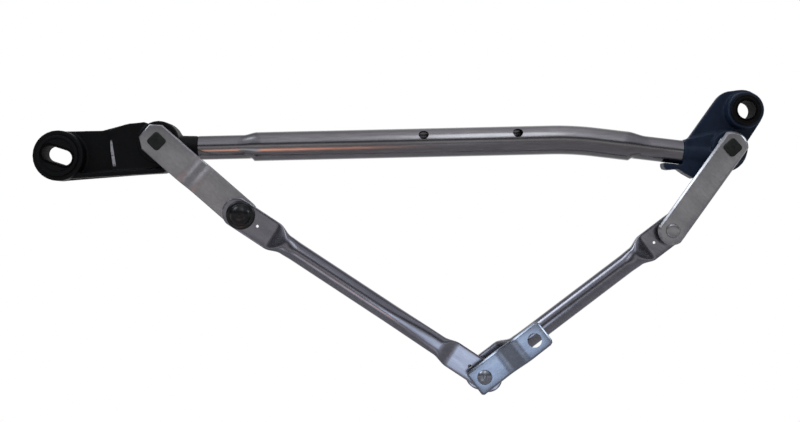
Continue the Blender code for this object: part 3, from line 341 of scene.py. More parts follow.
def long_tube(distances, shape, sides=48):
    """Tube along X, shaped station by station. shape takes a distance and a place on a unit circle."""
    sheet = bmesh.new()
    bmesh.ops.create_circle(sheet, segments=sides, radius=1.0)
    rim = sheet.edges[:]
    first = sheet.verts[:]
    for near, far in zip(distances, distances[1:]):
        made = bmesh.ops.extrude_edge_only(sheet, edges=rim)
        moved = [item for item in made["geom"] if isinstance(item, bmesh.types.BMVert)]
        rim = [item for item in made["geom"] if isinstance(item, bmesh.types.BMEdge)
               and all(end in moved for end in item.verts)]
        bmesh.ops.translate(sheet, vec=(0, 0, far - near), verts=moved)
    bmesh.ops.contextual_create(sheet, geom=rim)
    bmesh.ops.contextual_create(sheet, geom=[edge for edge in sheet.edges
                                             if all(end in first for end in edge.verts)])
    for corner in sheet.verts:
        corner.co = shape(distances[0] + corner.co.z, corner.co.x, corner.co.y)
    bmesh.ops.recalc_face_normals(sheet, faces=sheet.faces)
    return sheet


def to_mesh(sheet, name, place, sharp):
    bmesh.ops.transform(sheet, matrix=Matrix.Scale(0.001, 4) @ place, verts=sheet.verts)
    mesh = bpy.data.meshes.new(name)
    sheet.to_mesh(mesh)
    sheet.free()
    mesh.shade_smooth()
    mesh.set_sharp_from_angle(angle=radians(sharp))
    return mesh


def settle(sheet, name, place, body, slot, *nodes, sharp=35, finish=None):
    """Puts a finished shape in its place, on its body, instead of the CAD nodes it stands for."""
    mesh = to_mesh(sheet, name, place, sharp)
    mesh.materials.append(finish or FINISHES[slot])
    piece = bpy.data.objects.new(name, mesh)
    bpy.context.scene.collection.objects.link(piece)
    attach(piece, body)
    if nodes:
        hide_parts(*nodes)
    return piece


def bake_modifiers(piece, sharp=35):
    bpy.context.view_layer.update()
    mesh = bpy.data.meshes.new_from_object(piece.evaluated_get(bpy.context.evaluated_depsgraph_get()))
    piece.modifiers.clear()
    piece.data = mesh
    mesh.shade_smooth()
    mesh.set_sharp_from_angle(angle=radians(sharp))


def carve(piece, *cutters, sharp=35):
    """Cuts each (shape, place) out of a piece."""
    tools = []
    for sheet, place in cutters:
        tool = bpy.data.objects.new("cutter", to_mesh(sheet, "cutter", place, sharp))
        bpy.context.scene.collection.objects.link(tool)
        boolean = piece.modifiers.new("cut", "BOOLEAN")
        boolean.operation = "DIFFERENCE"
        boolean.solver = "EXACT"
        boolean.object = tool
        tools.append(tool)
    bake_modifiers(piece, sharp)
    for tool in tools:
        bpy.data.objects.remove(tool, do_unlink=True)


def arc(centre, radius, start, end, steps):
    angles = [start + (end - start) * i / steps for i in range(steps + 1)]
    return [(centre[0] + radius * cos(a), centre[1] + radius * sin(a)) for a in angles]


def ball_side(radius, centre, top, bottom, steps):
    """Points down a ball's side between two angles from its top."""
    angles = [top + (bottom - top) * i / steps for i in range(steps + 1)]
    return [(radius * sin(a), centre + radius * cos(a)) for a in angles]


def cylinder(radius, low, high, steps=48):
    return turned([(0, high), (radius, high), (radius, low), (0, low)], steps=steps)


def smooth(share):
    """Rises from 0 to 1 with level ends."""
    share = min(1.0, max(0.0, share))
    return share * share * (3 - 2 * share)


def eased(x, stops):
    """Value at x between (x, value) stops, level at each of them."""
    value = stops[0][1]
    for (near, low), (far, high) in zip(stops, stops[1:]):
        value += (high - low) * smooth((x - near) / (far - near))
    return value


def steps_between(start, end, step):
    count = max(1, round((end - start) / step))
    return [start + (end - start) * i / count for i in range(count)]


def swaged(distance, swage, above, facing):
    """Share of the full radius at a distance from a tube's end."""
    start, length, earlier, longer = swage
    sooner, wider = SWAGE_SIDES
    return smooth((distance - start + earlier * above + sooner * facing)
                  / (length + longer * above + wider * facing))


def make_frame_tube():
    """Drawn tube with a slow bend. Both ends are swaged: a short step below and a long slope on top."""
    half_bend, bent = 18, 36.0
    left = (TUBE_BEND - TUBE_LEFT_END).normalized()
    right = (TUBE_RIGHT_END - TUBE_BEND).normalized()
    start, end = TUBE_BEND - left * half_bend, TUBE_BEND + right * half_bend
    first = (start - TUBE_LEFT_END).length
    total = first + bent + (TUBE_RIGHT_END - end).length

    def centre(s):
        if s <= first:
            return TUBE_LEFT_END + left * s, left
        if s <= first + bent:
            t = (s - first) / bent
            place = start * (1 - t) ** 2 + TUBE_BEND * 2 * t * (1 - t) + end * t ** 2
            return place, (left * (1 - t) + right * t).normalized()
        return end + right * (s - first - bent), right

    def shape(s, across, up, wall=0.0):
        point, way = centre(s)
        above = smooth((up + 1) / 0.8)
        facing = 1 - up * up
        full = min(swaged(s, LEFT_SWAGE, above, facing), swaged(total - s, RIGHT_SWAGE, above, facing))
        radius = TUBE_END_RADIUS + (TUBE_RADIUS - TUBE_END_RADIUS) * full - wall
        side = Vector((-way.y, way.x))
        place = point + side * radius * up
        return Vector((place.x, place.y, radius * across))

    fine = 0.6
    left_slope, right_slope = (29, 53), (total - 50, total - 23)
    stops = steps_between(0, left_slope[0], 3.5) + steps_between(*left_slope, fine)
    stops += steps_between(left_slope[1], right_slope[0], 3) + steps_between(*right_slope, fine)
    stops += steps_between(right_slope[1], total, 3.5) + [total]
    tube = settle(long_tube(stops, shape, 72), "drawn_frame_tube", plan_frame((0, 0)), "frame",
                  "tube_steel", "frame_tube", sharp=50)
    cutters = []
    for along in PLATE_HOLES:
        place = TUBE_LEFT_END + left * (along - TUBE_LEFT_END.x)
        tilt = plan_frame(place) @ Matrix.Rotation(-PLATE_HOLE_TILT, 4, "X")
        cutters.append((cylinder(PLATE_HOLE_RADIUS, -2 * TUBE_RADIUS, 2 * TUBE_RADIUS), tilt))
    bore = long_tube([-2.0] + stops[1:-1] + [total + 2.0],
                     lambda s, across, up: shape(s, across, up, TUBE_WALL), 72)
    cutters.append((bore, plan_frame((0, 0))))
    carve(tube, *cutters, sharp=50)


def rounded_copy(node, name, body, finish, voxel=0.75, passes=6):
    """Casting or moulding with the corners of its CAD node rounded as a mould's are."""
    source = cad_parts[node]
    piece = bpy.data.objects.new(name, source.data.copy())
    piece.data.materials.clear()
    piece.data.materials.append(finish)
    bpy.context.scene.collection.objects.link(piece)
    sheet = bmesh.new()
    sheet.from_mesh(piece.data)
    bmesh.ops.remove_doubles(sheet, verts=sheet.verts, dist=0.000005)
    sheet.to_mesh(piece.data)
    sheet.free()
    remesh = piece.modifiers.new("mould", "REMESH")
    remesh.mode = "VOXEL"
    remesh.voxel_size = voxel / 1000
    remesh.use_smooth_shade = True
    fettle = piece.modifiers.new("fettle", "SMOOTH")
    fettle.iterations = passes
    fettle.factor = 0.5
    bake_modifiers(piece, 80)
    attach(piece, body)
    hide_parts(node)
    return piece


def stadium(half_length, half_width, steps=16):
    reach = half_length - half_width
    right = arc((reach, 0), half_width, -pi / 2, pi / 2, steps)
    return right + arc((-reach, 0), half_width, pi / 2, 3 * pi / 2, steps)


def grommet_face(lip, groove, hole, inner, outer):
    """Half of a grommet's profile, from its hole to the eye's wall.

    inner is the level at the eye's face, and outer the level of the grommet's own face.
    """
    way = 1 if outer > inner else -1
    return [(hole, outer), (groove - 0.9, outer), (groove - 0.5, outer - way * 0.5),
            (groove, outer - way * 0.6), (groove + 0.5, outer - way * 0.5), (groove + 0.9, outer),
            (lip - 0.9, outer), (lip - 0.3, outer - way * 0.3), (lip, outer - way * 0.9),
            (lip, inner + way * 0.2), (lip - 0.2, inner), (lip - 1.3, inner)]


def grommet_sides(lip, groove, hole):
    """A grommet's whole profile. Its lips stand on both faces of the eye."""
    front = grommet_face(lip, groove, hole, EYE_FRONT + FIT, GROMMET_FRONT)
    return front + grommet_face(lip, groove, hole, EYE_REAR - FIT, GROMMET_REAR)[::-1]


def make_left_eye_ring():
    """Rubber grommet with a slotted steel sleeve, which lets the linkage be lined up."""
    half_length, half_width, wall = 13.6, 7.4, 1.4
    eye = plan_frame(LEFT_EYE, radians(-18))
    grommet = settle(turned(grommet_sides(16.2, 12.9, 0)), "left_moulded_grommet", eye, "frame", "rubber",
                     "left_grommet")
    carve(grommet, (slab(stadium(half_length + FIT, half_width + FIT), GROMMET_REAR - 5, GROMMET_FRONT + 5),
                    eye))
    tube = slab(stadium(half_length, half_width), SLEEVE_REAR, SLEEVE_FRONT)
    caps = [face for face in tube.faces if abs(face.normal.z) > 0.9]
    for cap in caps:
        bmesh.ops.inset_individual(tube, faces=[cap], thickness=wall, use_even_offset=True)
    rims = [edge for cap in caps for edge in cap.edges]
    bmesh.ops.delete(tube, geom=caps, context="FACES_ONLY")
    bmesh.ops.bridge_loops(tube, edges=rims)
    bmesh.ops.recalc_face_normals(tube, faces=tube.faces)
    round_edges(tube, 0.35, 3, radians(60))
    settle(tube, "left_slotted_sleeve", eye, "frame", "dark_steel", "left_grommet_sleeve", finish=BLACKENED)


def make_right_eye_ring():
    """Rubber grommet with a round steel sleeve."""
    eye = plan_frame(RIGHT_EYE)
    settle(turned(grommet_sides(12.2, 10.3, 8.8), closed=True), "right_moulded_grommet", eye, "frame",
           "rubber", "right_grommet")
    settle(washer(7.1, 8.5, SLEEVE_REAR, SLEEVE_FRONT, 0.35), "right_round_sleeve", eye, "frame",
           "dark_steel", "right_grommet_sleeve", finish=BLACKENED)


def make_arms():
    half, overhang, corner = 12.4, 13.0, 8.0
    bend_start, bend_end = 34, 44
    tail = [(-overhang, 6.35), (corner - overhang, half)]
    head = arc((LEFT_ARM_LENGTH, 0), half, pi / 2, -pi / 2, 24)
    outline = tail + head + [(x, -y) for x, y in tail[::-1]]
    side = [(-overhang, ARM_BACK), (bend_start, ARM_BACK), (bend_end, LEFT_HEAD_BACK),
            (LEFT_ARM_LENGTH + half, LEFT_HEAD_BACK)]
    settle(pressing(outline, side, STRIP_THICKNESS, bend_round=4.6, coined=0.8, back_round=0.6),
           "stepped_crank_arm", plan_frame(LEFT_SPINDLE, LEFT_ARM_ANGLE), "left_arm", "arm_steel",
           "left_crank_arm")
    half, hub_radius, head_radius = 10.7, 12.9, 11.3
    turn = asin(half / hub_radius)
    hub = arc((0, 0), hub_radius, pi - turn, pi + turn, 20)
    turn = asin(half / head_radius)
    head = arc((RIGHT_ARM_LENGTH, 0), head_radius, -turn, turn, 20)
    side = [(-overhang, ARM_BACK), (RIGHT_ARM_LENGTH + 12, ARM_BACK)]
    arm = settle(pressing(hub + head, side, STRIP_THICKNESS, bend_round=0, coined=1.9, back_round=0.8),
                 "flat_crank_arm", plan_frame(RIGHT_SPINDLE, RIGHT_ARM_ANGLE), "right_arm", "arm_steel",
                 "right_crank_arm")
    carve(arm, (washer(5.25, 5.8, -0.4, 0.5, 0.1), plan_frame(RIGHT_JOINT, 0, ARM_FRONT)))


def make_spindles():
    """Ground shaft with a knurled cone and a rolled thread, and the square that is riveted into the arm."""
    profile = [(0, 16.2), (8.8, 16.2), (9, 16.0), (9, 15.2), (8.8, 15), (6, 15), (6, -53.0), (5.2, -53.3),
               (5.2, -54.7), (6, -55.0), (6, -57)]
    profile += [(5.95 - 0.73 * i / 8, CONE_TOP - CONE_LENGTH * i / 8) for i in range(9)]
    profile += [(5.1, -65), (4, -65.2)]
    for i in range(9):
        level = -66.0 - i
        profile += [(4.0, level), (3.95, level - 0.15), (3.5, level - 0.5), (3.95, level - 0.85)]
    profile += [(3.2, -75), (0, -75)]
    teeth, ridge_height = 36, 0.022
    for side, centre, turn in (("left", LEFT_SPINDLE, radians(45)), ("right", RIGHT_SPINDLE, radians(42))):
        shaft = turned(profile, steps=teeth * 4)
        for corner in shaft.verts:
            if -0.1 < CONE_TOP - corner.co.z < CONE_LENGTH + 0.1:
                ridge = 1 + ridge_height * cos(teeth * atan2(corner.co.y, corner.co.x))
                corner.co.x *= ridge
                corner.co.y *= ridge
        settle(shaft, side + "_knurled_spindle", plan_frame(centre), side + "_arm", "dark_steel",
               side + "_spindle")
        half = SQUARE_SIDE / 2
        head = slab([(-half, -half), (half, -half), (half, half), (-half, half)], SQUARE_FOOT,
                    SQUARE_TOP)
        round_edges(head, 2.4, 6, radians(50),
                    lambda edge: abs(edge.verts[0].co.z - edge.verts[1].co.z) > 1)
        round_edges(head, 0.7, 3, radians(50),
                    lambda edge: min(end.co.z for end in edge.verts) > SQUARE_TOP - 0.1)
        square = settle(head, side + "_riveted_square", plan_frame(centre, turn), side + "_arm",
                        "dark_steel")
        dimple = turned([(0, 23), (1.9, 22.6), (1.3, 21.6), (0, 21.2)], steps=24)
        carve(square, (dimple, plan_frame(centre)))


def make_bearings():
    """What each spindle runs in, front to rear. Only the edges between arm and barrel show."""
    bore = SPINDLE_RADIUS + FIT
    for side, centre in (("left", LEFT_SPINDLE), ("right", RIGHT_SPINDLE)):
        pivot = plan_frame(centre)
        settle(washer(bore, BUSH_RADIUS, *FRONT_BUSH, 0.4), side + "_sinter_front_bush", pivot, "frame",
               "bush_bronze", side + "_front_bush")
        settle(washer(bore, BUSH_RADIUS, *REAR_BUSH, 0.4), side + "_sinter_rear_bush", pivot, "frame",
               "bush_bronze", side + "_rear_bush")
        wave = washer(bore, WASHER_RADIUS, *WAVE_WASHER, 0.08)
        for corner in wave.verts:
            corner.co.z += 0.15 * (1 + cos(3 * atan2(corner.co.y, corner.co.x)))
        settle(wave, side + "_sprung_washer", pivot, "frame", "bright_steel", side + "_wave_washer")
        settle(washer(bore, WASHER_RADIUS, *THRUST_WASHER), side + "_stamped_washer", pivot, "frame",
               "bright_steel", side + "_thrust_washer")
        middle, cord = (bore + BUSH_RADIUS) / 2, 0.8
        section = [(middle + cord * cos(-i * pi / 8), O_RING_LEVEL + cord * sin(-i * pi / 8))
                   for i in range(16)]
        settle(turned(section, closed=True), side + "_moulded_o_ring", pivot, "frame", "rubber",
               side + "_o_ring")
        settle(washer(bore, WASHER_RADIUS, *REAR_WASHER), side + "_stamped_rear_washer", pivot, "frame",
               "bright_steel", side + "_rear_washer")
        settle(circlip(), side + "_sprung_circlip", pivot, side + "_arm", "bright_steel", side + "_circlip")


def circlip():
    """Stamped clip that is pushed on from below and grips with three lands."""
    outer, inner, pocket, gap = 8.2, 5.5, 6.8, 3.0
    outline = arc((0, 0), outer, asin(gap / outer) - pi / 2, 3 * pi / 2 - asin(gap / outer), 40)
    mouth = pi / 2 - asin(gap / inner)
    lands = [(inner, pi + mouth, radians(212)), (pocket, radians(202), radians(128)),
             (inner, radians(116), radians(64)), (pocket, radians(52), radians(-22)),
             (inner, radians(-32), -mouth)]
    for radius, start, end in lands:
        outline += arc((0, 0), radius, start, end, 8)
    clip = slab(outline, *CIRCLIP)
    round_edges(clip, 0.15, 2, radians(60))
    return clip


def make_studs():
    """Ball studs, riveted into the arms from opposite sides. The rivet head is the last of the profile."""
    neck = asin(BALL_NECK_RADIUS / BALL_RADIUS)
    left_seat = LEFT_HEAD_BACK + STRIP_THICKNESS
    studs = (("left", LEFT_JOINT, left_seat, LEFT_ROD_LEVEL - left_seat, Matrix.Identity(4)),
             ("right", RIGHT_JOINT, ARM_BACK, ARM_BACK - RIGHT_ROD_LEVEL, FACING_AWAY))
    for side, joint, level, height, turn in studs:
        profile = ball_side(BALL_RADIUS, height, 0, pi - neck, 20)
        profile += [(BALL_NECK_RADIUS, 2.3), (7.3, 1.6), (7.5, 1.4), (7.5, 0.5), (7.3, 0.3), (4, 0.3),
                    (4, -3.4), (5.2, -3.4), (5.2, -3.9), (5.05, -4.25), (4.6, -4.5), (3.4, -4.7),
                    (2.0, -4.78), (0, -4.8)]
        settle(turned(profile), side + "_turned_stud", plan_frame(joint, 0, level) @ turn, side + "_arm",
               "bright_steel", side + "_arm_ball_stud", finish=FINISHES["arm_steel"])


def make_sockets():
    """Moulded sockets clipped into the rods: two caps, a ring and a wide cup."""
    seat = PADDLE_THICKNESS / 2 + FIT
    mouth = acos(-0.6)
    cavity = BALL_RADIUS + FIT
    rim = [(11.0, 3.5), (11.2, 3.2), (11.25, 2.9), (11.25, seat + 0.2), (11.0, seat), (SOCKET_RADIUS, seat),
           (SOCKET_RADIUS, -seat), (9.6, -seat), (9.8, -seat - 0.3), (9.8, -seat - 0.9), (9.5, -seat - 1.4),
           (SOCKET_RADIUS, -seat - 2.6)]
    dome = [(0, 9.1), (0.8, 9.1), (1.1, 8.95), (1.5, 8.9), (2.4, 8.88), (3.8, 8.6), (5.2, 8.05), (6.4, 7.3),
            (7.4, 6.3), (8.0, 5.4), (8.2, 4.95), (8.5, 4.7), (9.0, 4.6), (9.8, 4.5), (10.5, 4.15)]
    closed = dome + rim + ball_side(cavity, 0, mouth, 0, 16)
    settle(turned(closed), "left_moulded_cap", plan_frame(LEFT_JOINT, 0, LEFT_ROD_LEVEL), "left_rod",
           "socket_plastic", "left_rod_outer_socket")
    settle(turned(closed), "right_moulded_cap", plan_frame(RIGHT_JOINT, 0, RIGHT_ROD_LEVEL) @ FACING_AWAY,
           "right_rod", "socket_plastic", "right_rod_outer_socket")
    ring = [(8.2, 4.78), (8.8, 4.5), (9.8, 3.0), (10.0, 2.8), (10.0, seat), (SOCKET_RADIUS, seat),
            (SOCKET_RADIUS, -seat), (9.4, -seat), (9.6, -seat - 0.3), (9.6, -seat - 0.9),
            (9.3, -seat - 1.4), (SOCKET_RADIUS, -seat - 2.6)]
    ring += ball_side(cavity, 0, mouth, pi - mouth, 16)
    settle(turned(ring, closed=True), "left_moulded_ring", plan_frame(CRANK_PIN, 0, LEFT_ROD_LEVEL),
           "left_rod", "socket_plastic", "left_rod_inner_socket")
    top, body = REAR_BALL_RADIUS + FIT + 1.3, LOOSE_SOCKET_RADIUS
    cup = [(0, top), (body * 0.4, top - 0.02), (body * 0.45, top - 0.3), (body * 0.5, top - 0.3),
           (body * 0.55, top - 0.1), (body * 0.64, top - 0.3), (body * 0.9, top - 1.6),
           (body * 0.97, top - 2.4), (body, top - 3.4), (body, -seat - 1.6), (body - 0.4, -seat - 2.2),
           (body - 1.0, -seat - 2.4), (8.4, -seat - 2.4), (LOOSE_CAVITY_RADIUS, -seat - 0.8),
           (LOOSE_CAVITY_RADIUS, 3.8), (8.7, 5.3), (0, 5.3)]
    settle(turned(cup), "right_moulded_cup", plan_frame(CRANK_PIN, 0, RIGHT_ROD_LEVEL) @ FACING_AWAY,
           "right_rod", "socket_plastic", "right_rod_inner_socket")


class PressedEnd:
    """End of a rod's tube, pressed flat round its joint. Distances are measured from the joint."""

    def __init__(self, half, overhang, length, neck, radius, spoon, opened):
        self.half, self.overhang, self.length = half, overhang, length
        self.neck, self.radius, self.spoon, self.opened = neck, radius, spoon, opened
        self.tip_radius = half * 1.02
        self.tip_centre = self.tip_radius - overhang

    def section(self, u):
        """Half width, half thickness and squareness at u."""
        wide = eased(u, [(self.length, self.half), (self.neck, self.radius * 1.04),
                         (self.spoon, self.radius)])
        if u < self.tip_centre:
            wide = min(self.half, sqrt(max(0.01, self.tip_radius ** 2 - (self.tip_centre - u) ** 2)))
        thick = eased(u, [(self.length - 1, PADDLE_THICKNESS / 2), (self.neck, self.radius * self.opened),
                          (self.spoon, self.radius)])
        thick *= 0.7 + 0.3 * smooth((u + self.overhang) / 0.8)
        square = eased(u, [(self.length, 7.0), (self.neck, 2.5), (self.spoon, 2.0)])
        return wide, thick, square

    def stations(self):
        stops = [self.tip_centre - self.tip_radius * cos(radians(3 + 80 * i / 16)) for i in range(17)]
        stops += steps_between(stops[-1] + 2, self.length - 3, 3)
        stops += steps_between(self.length - 3, self.neck + 3, 0.8)
        return stops + steps_between(self.neck + 3, self.spoon, 2)


def make_rod(name, node, body, outer_joint, level, outer, inner, inner_hole, holes):
    """Tube pressed flat at both ends."""
    length = (CRANK_PIN - outer_joint).length
    stops = outer.stations() + steps_between(outer.spoon, length - inner.spoon, 8)
    stops += [length - u for u in inner.stations()[::-1]]

    def shape(x, across, up):
        wide, thick, square = outer.section(x) if x < length / 2 else inner.section(length - x)
        y = wide * abs(across) ** (2 / square) * (1 if across > 0 else -1)
        z = thick * abs(up) ** (2 / square) * (1 if up > 0 else -1)
        return Vector((x, y, z))

    direction = heading(outer_joint, CRANK_PIN)
    above, below = PADDLE_THICKNESS + 0.8, -PADDLE_THICKNESS - 0.8
    rod = settle(long_tube(stops, shape, 64), name, plan_frame(outer_joint, direction, level), body,
                 "rod_steel", node, sharp=50)
    cutters = [(cylinder(SOCKET_RADIUS + FIT, below, above, 64), plan_frame(outer_joint, 0, level)),
               (cylinder(inner_hole, below, above, 64), plan_frame(CRANK_PIN, 0, level))]
    for x, hole in holes:
        point = outer_joint + polar(x, direction)
        cutters.append((cylinder(hole, below, above, 24), plan_frame(point, 0, level)))
    carve(rod, *cutters, sharp=50)


def make_rods():
    vent = (OUTER_VENT, OUTER_VENT_RADIUS)
    outer = PressedEnd(11.6, PADDLE_OVERHANG, 29, 42, 7.7, 52, 0.84)
    inner = PressedEnd(10.6, PADDLE_OVERHANG, 29, 42, 7.7, 91, 0.6)
    inner_vent = ((CRANK_PIN - LEFT_JOINT).length - 13.2, 1.4)
    make_rod("left_pressed_rod", "left_link_rod", "left_rod", LEFT_JOINT, LEFT_ROD_LEVEL, outer, inner,
             SOCKET_RADIUS + FIT, [vent, inner_vent])
    outer = PressedEnd(11.6, PADDLE_OVERHANG, 22, 34, 7.9, 44, 0.84)
    inner = PressedEnd(13.1, 14.0, 22, 35, 7.9, 43, 0.84)
    make_rod("right_pressed_rod", "right_link_rod", "right_rod", RIGHT_JOINT, RIGHT_ROD_LEVEL, outer, inner,
             LOOSE_SOCKET_RADIUS + FIT, [vent])


def make_crank():
    half, corner, overhang = 10.75, 3.0, 10.7
    bend_start, bend_end = 19.4, 34.4
    end = CRANK_LENGTH + overhang
    edge = [(-10, half - 1.5), (-8.5, half), (end - corner, half), (end - 0.9, half - 0.9),
            (end, half - corner)]
    outline = edge + [(x, -y) for x, y in edge[::-1]]
    front = CRANK_BACK + CRANK_STEP
    side = [(-10, CRANK_BACK), (bend_start, CRANK_BACK), (bend_end, front), (end, front)]
    strip = pressing(outline, side, CRANK_THICKNESS - 0.01, bend_round=3.6, coined=1.4, back_round=0.7)
    crank = settle(strip, "stepped_motor_crank", plan_frame(CRANK_PIN, CRANK_ANGLE), "crank", "crank_steel",
                   "motor_crank")
    # the hole for the motor's shaft is a cone
    shaft_hole = turned([(0, 8), (4.6, 8), (7.0, -8), (0, -8)], steps=64)
    carve(crank, (shaft_hole, plan_frame(CRANK_HUB, 0, front + CRANK_THICKNESS / 2)),
          (cylinder(4.3, -8, 8), plan_frame(CRANK_PIN, 0, CRANK_BACK)))
    head, flange = 37.8, 33.2
    profile = [(0, head + 2.6), (0.8, head + 2.55), (1.3, head + 2.2), (1.9, head + 2.05),
               (3.2, head + 1.8), (4.4, head + 1.3), (5.2, head + 0.7), (5.65, head + 0.2), (5.7, head),
               (4, head), (4, flange), (7.3, flange), (7.5, flange - 0.2), (7.5, flange - 1.0),
               (7.3, flange - 1.2), (BALL_NECK_RADIUS, flange - 2.0)]
    neck, rear_neck = asin(BALL_NECK_RADIUS / BALL_RADIUS), asin(REAR_NECK_RADIUS / REAR_BALL_RADIUS)
    lower_neck = pi - asin(REAR_NECK_RADIUS / BALL_RADIUS)
    profile += ball_side(BALL_RADIUS, LEFT_ROD_LEVEL, neck, lower_neck, 18)
    profile += ball_side(REAR_BALL_RADIUS, RIGHT_ROD_LEVEL, rear_neck, pi, 18)
    settle(turned(profile), "turned_double_ball_pin", plan_frame(CRANK_PIN), "crank", "bright_steel",
           "crank_double_ball_pin")


STAGE_CENTRE = Vector((180, -75, -520))


def behind_mask(tree, vector, start, end):
    """1 for what lies behind the linkage, as the camera sees it."""
    axes = add(tree, "ShaderNodeSeparateXYZ", {}, {0: vector})
    return add(tree, "ShaderNodeMapRange",
               {"interpolation_type": "SMOOTHSTEP", "From Min": start, "From Max": end},
               {"Value": axes.outputs["Y"]})


def seen_white(tree, behind):
    """1 for camera rays, and for mirrored and refracted rays that reach what lies behind."""
    rays = add(tree, "ShaderNodeLightPath")
    mirrored = add(tree, "ShaderNodeMath", {"operation": "MAXIMUM"},
                   {0: rays.outputs["Is Glossy Ray"], 1: rays.outputs["Is Transmission Ray"]})
    backdrop = add(tree, "ShaderNodeMath", {"operation": "MULTIPLY"},
                   {0: mirrored.outputs[0], 1: behind.outputs[0]})
    return add(tree, "ShaderNodeMath", {"operation": "MAXIMUM"},
               {0: rays.outputs["Is Camera Ray"], 1: backdrop.outputs[0]})


def make_stage():
    """Matt pale floor that turns white further out, and keeps the shadow near the linkage."""
    sheet = bmesh.new()
    bmesh.ops.create_circle(sheet, cap_ends=True, segments=128, radius=6000)
    mesh = to_mesh(sheet, "floor", Matrix.Translation(STAGE_CENTRE), 35)
    floor = bpy.data.objects.new("studio_floor", mesh)
    bpy.context.scene.collection.objects.link(floor)
    # matt painted board: pale, even and without gloss
    material = bpy.data.materials.new("matt pale floor")
    material.use_nodes = True
    tree = material.node_tree
    shader = tree.nodes["Principled BSDF"]
    shader.inputs["Base Color"].default_value = linear("E2E0DE")
    shader.inputs["Roughness"].default_value = 0.85
    shader.inputs["Specular IOR Level"].default_value = 0.2
    place = add(tree, "ShaderNodeTexCoord")
    away = add(tree, "ShaderNodeVectorMath", {"operation": "DISTANCE", 1: STAGE_CENTRE / 1000},
               {0: place.outputs["Object"]})
    far = add(tree, "ShaderNodeMapRange",
              {"interpolation_type": "SMOOTHSTEP", "From Min": 0.3, "From Max": 1.5, "To Min": 0.5},
              {"Value": away.outputs["Value"]})
    white = seen_white(tree, behind_mask(tree, place.outputs["Object"], 0.2, 1.0))
    share = add(tree, "ShaderNodeMath", {"operation": "MULTIPLY"}, {0: far.outputs[0], 1: white.outputs[0]})
    paper = add(tree, "ShaderNodeEmission", {"Color": (1, 1, 1, 1), "Strength": 1.0})
    mixed = add(tree, "ShaderNodeMixShader", {},
                {0: share.outputs[0], 1: shader.outputs[0], 2: paper.outputs[0]})
    tree.links.new(mixed.outputs[0], tree.nodes["Material Output"].inputs["Surface"])
    mesh.materials.append(material)


def make_world():
    """White behind the linkage, and round the rest a soft studio whose tones change with height."""
    world = bpy.data.worlds.new("soft studio")
    bpy.context.scene.world = world
    world.use_nodes = True
    tree = world.node_tree
    place = add(tree, "ShaderNodeTexCoord")
    axes = add(tree, "ShaderNodeSeparateXYZ", {}, {0: place.outputs["Generated"]})
    bands = ((-0.1, 0.02, (0.64, 0.64, 0.65, 1)), (0.08, 0.22, (0.07, 0.07, 0.08, 1)),
             (0.4, 0.52, (0.95, 0.97, 1.06, 1)), (0.7, 1.0, (0.8, 0.8, 0.86, 1)))
    studio = None
    for low, high, tone in bands:
        share = add(tree, "ShaderNodeMapRange",
                    {"interpolation_type": "SMOOTHSTEP", "From Min": low, "From Max": high},
                    {"Value": axes.outputs["Z"]})
        links = {0: share.outputs[0]}
        if studio:
            links[6] = studio.outputs[2]
        studio = add(tree, "ShaderNodeMix", {"data_type": "RGBA", 6: linear("AAA8A6"), 7: tone}, links)
    aside = add(tree, "ShaderNodeMath", {"operation": "SUBTRACT", 1: 0.08}, {0: axes.outputs["X"]})
    aside = add(tree, "ShaderNodeMath", {"operation": "ABSOLUTE"}, {0: aside.outputs[0]})
    aside = add(tree, "ShaderNodeMapRange",
                {"interpolation_type": "SMOOTHSTEP", "From Min": 0.08, "From Max": 0.3},
                {"Value": aside.outputs[0]})
    above = add(tree, "ShaderNodeMapRange",
                {"interpolation_type": "SMOOTHSTEP", "From Min": 0.2, "From Max": 0.4},
                {"Value": axes.outputs["Z"]})
    walls = add(tree, "ShaderNodeMath", {"operation": "MULTIPLY"},
                {0: aside.outputs[0], 1: above.outputs[0]})
    rear = behind_mask(tree, place.outputs["Generated"], -0.1, 0.6)
    for where, tone in ((walls, (0.5, 0.5, 0.52, 1)), (rear, (0.55, 0.55, 0.55, 1))):
        studio = add(tree, "ShaderNodeMix", {"data_type": "RGBA", "blend_type": "MULTIPLY", 7: tone},
                     {0: where.outputs[0], 6: studio.outputs[2]})
    white = seen_white(tree, behind_mask(tree, place.outputs["Generated"], 0.6, 0.95))
    seen = add(tree, "ShaderNodeMix", {"data_type": "RGBA", 7: (1.0, 1.0, 1.0, 1.0)},
               {0: white.outputs[0], 6: studio.outputs[2]})
    tree.links.new(seen.outputs[2], tree.nodes["Background"].inputs["Color"])


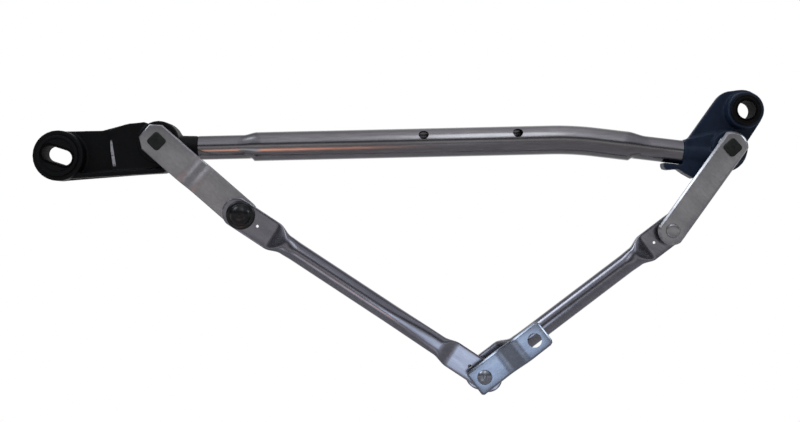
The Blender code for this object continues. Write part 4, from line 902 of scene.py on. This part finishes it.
def softbox(name, place, target, size, strength, colour, along=(1, 0, 0), grid=180):
    """Panel light. strength is how bright it looks, and along is the way that its long side runs.

    A grid narrows its beam to an angle in degrees. The panel looks as bright as without it.
    """
    half = radians(grid) / 2
    kept = (tan(half) - half) / tan(half) if grid < 180 else 1.0
    lamp = bpy.data.lights.new(name, "AREA")
    lamp.shape = "ELLIPSE"
    lamp.size, lamp.size_y = size
    lamp.energy = strength * kept * pi * pi * size[0] * size[1] / 4
    lamp.color = colour
    lamp.spread = radians(grid)
    back = (Vector(place) - Vector(target)).normalized()
    up = back.cross(Vector(along)).normalized()
    stand = bpy.data.objects.new(name, lamp)
    stand.matrix_world = Matrix((up.cross(back), up, back)).transposed().to_4x4()
    stand.location = place
    stand.visible_camera = False
    bpy.context.scene.collection.objects.link(stand)


def make_lamps():
    softbox("key softbox", (0.32, -0.75, 0.75), (0.23, -0.08, 0.0), (0.24, 0.6), 2.0, (0.88, 0.94, 1.0))
    softbox("upper left edge light", (-0.2, -0.23, 0.53), (0.35, -0.1, -0.08), (0.5, 0.5), 6.0,
            (0.85, 0.92, 1.0), grid=46)
    softbox("lower left strip", (-0.036, -0.608, -0.41), (0.17, -0.1, -0.13), (0.5, 0.28), 1.3,
            (0.82, 0.9, 1.0), along=(0.835, 0, -0.55), grid=32)
    softbox("panel near the crank", (0.255, -0.45, -0.2), (0.235, -0.1, -0.165), (0.22, 0.15), 3.2,
            (0.66, 0.8, 1.0), grid=36)
    softbox("lower right panel", (0.418, -0.832, -0.365), (0.03, -0.095, -0.03), (0.24, 0.24), 1.8,
            (0.85, 0.92, 1.0), grid=30)
    softbox("warm lamp below", (0.066, -0.5, -0.25), (0.115, -0.08, 0.0), (0.2, 0.24), 3.2,
            (1.0, 0.38, 0.18), grid=24)
    softbox("upper right edge light", (0.85, -0.11, 0.18), (0.29, -0.12, -0.15), (0.44, 0.44), 9.0,
            (0.85, 0.93, 1.0), grid=30)


def make_camera():
    lens = bpy.data.cameras.new("front view")
    lens.lens = 59.47
    lens.sensor_width = 36
    camera = bpy.data.objects.new("front view", lens)
    camera.location = (0.1898, -1.125, -0.0544)
    camera.rotation_euler = (radians(90), 0, 0)
    bpy.context.scene.collection.objects.link(camera)
    bpy.context.scene.camera = camera


make_frame_tube()
rounded_copy("left_pivot_housing", "left_casting", "frame", FINISHES["cast_housing"])
# the right casting takes the copy with painted blue light
rounded_copy("right_pivot_housing", "right_casting", "frame", BLUE_LIT_CASTING)
make_left_eye_ring()
make_right_eye_ring()
make_arms()
make_spindles()
make_bearings()
make_studs()
make_sockets()
make_rods()
make_crank()
make_stage()
make_world()
make_lamps()
make_camera()
bpy.context.scene.view_settings.view_transform = "Standard"
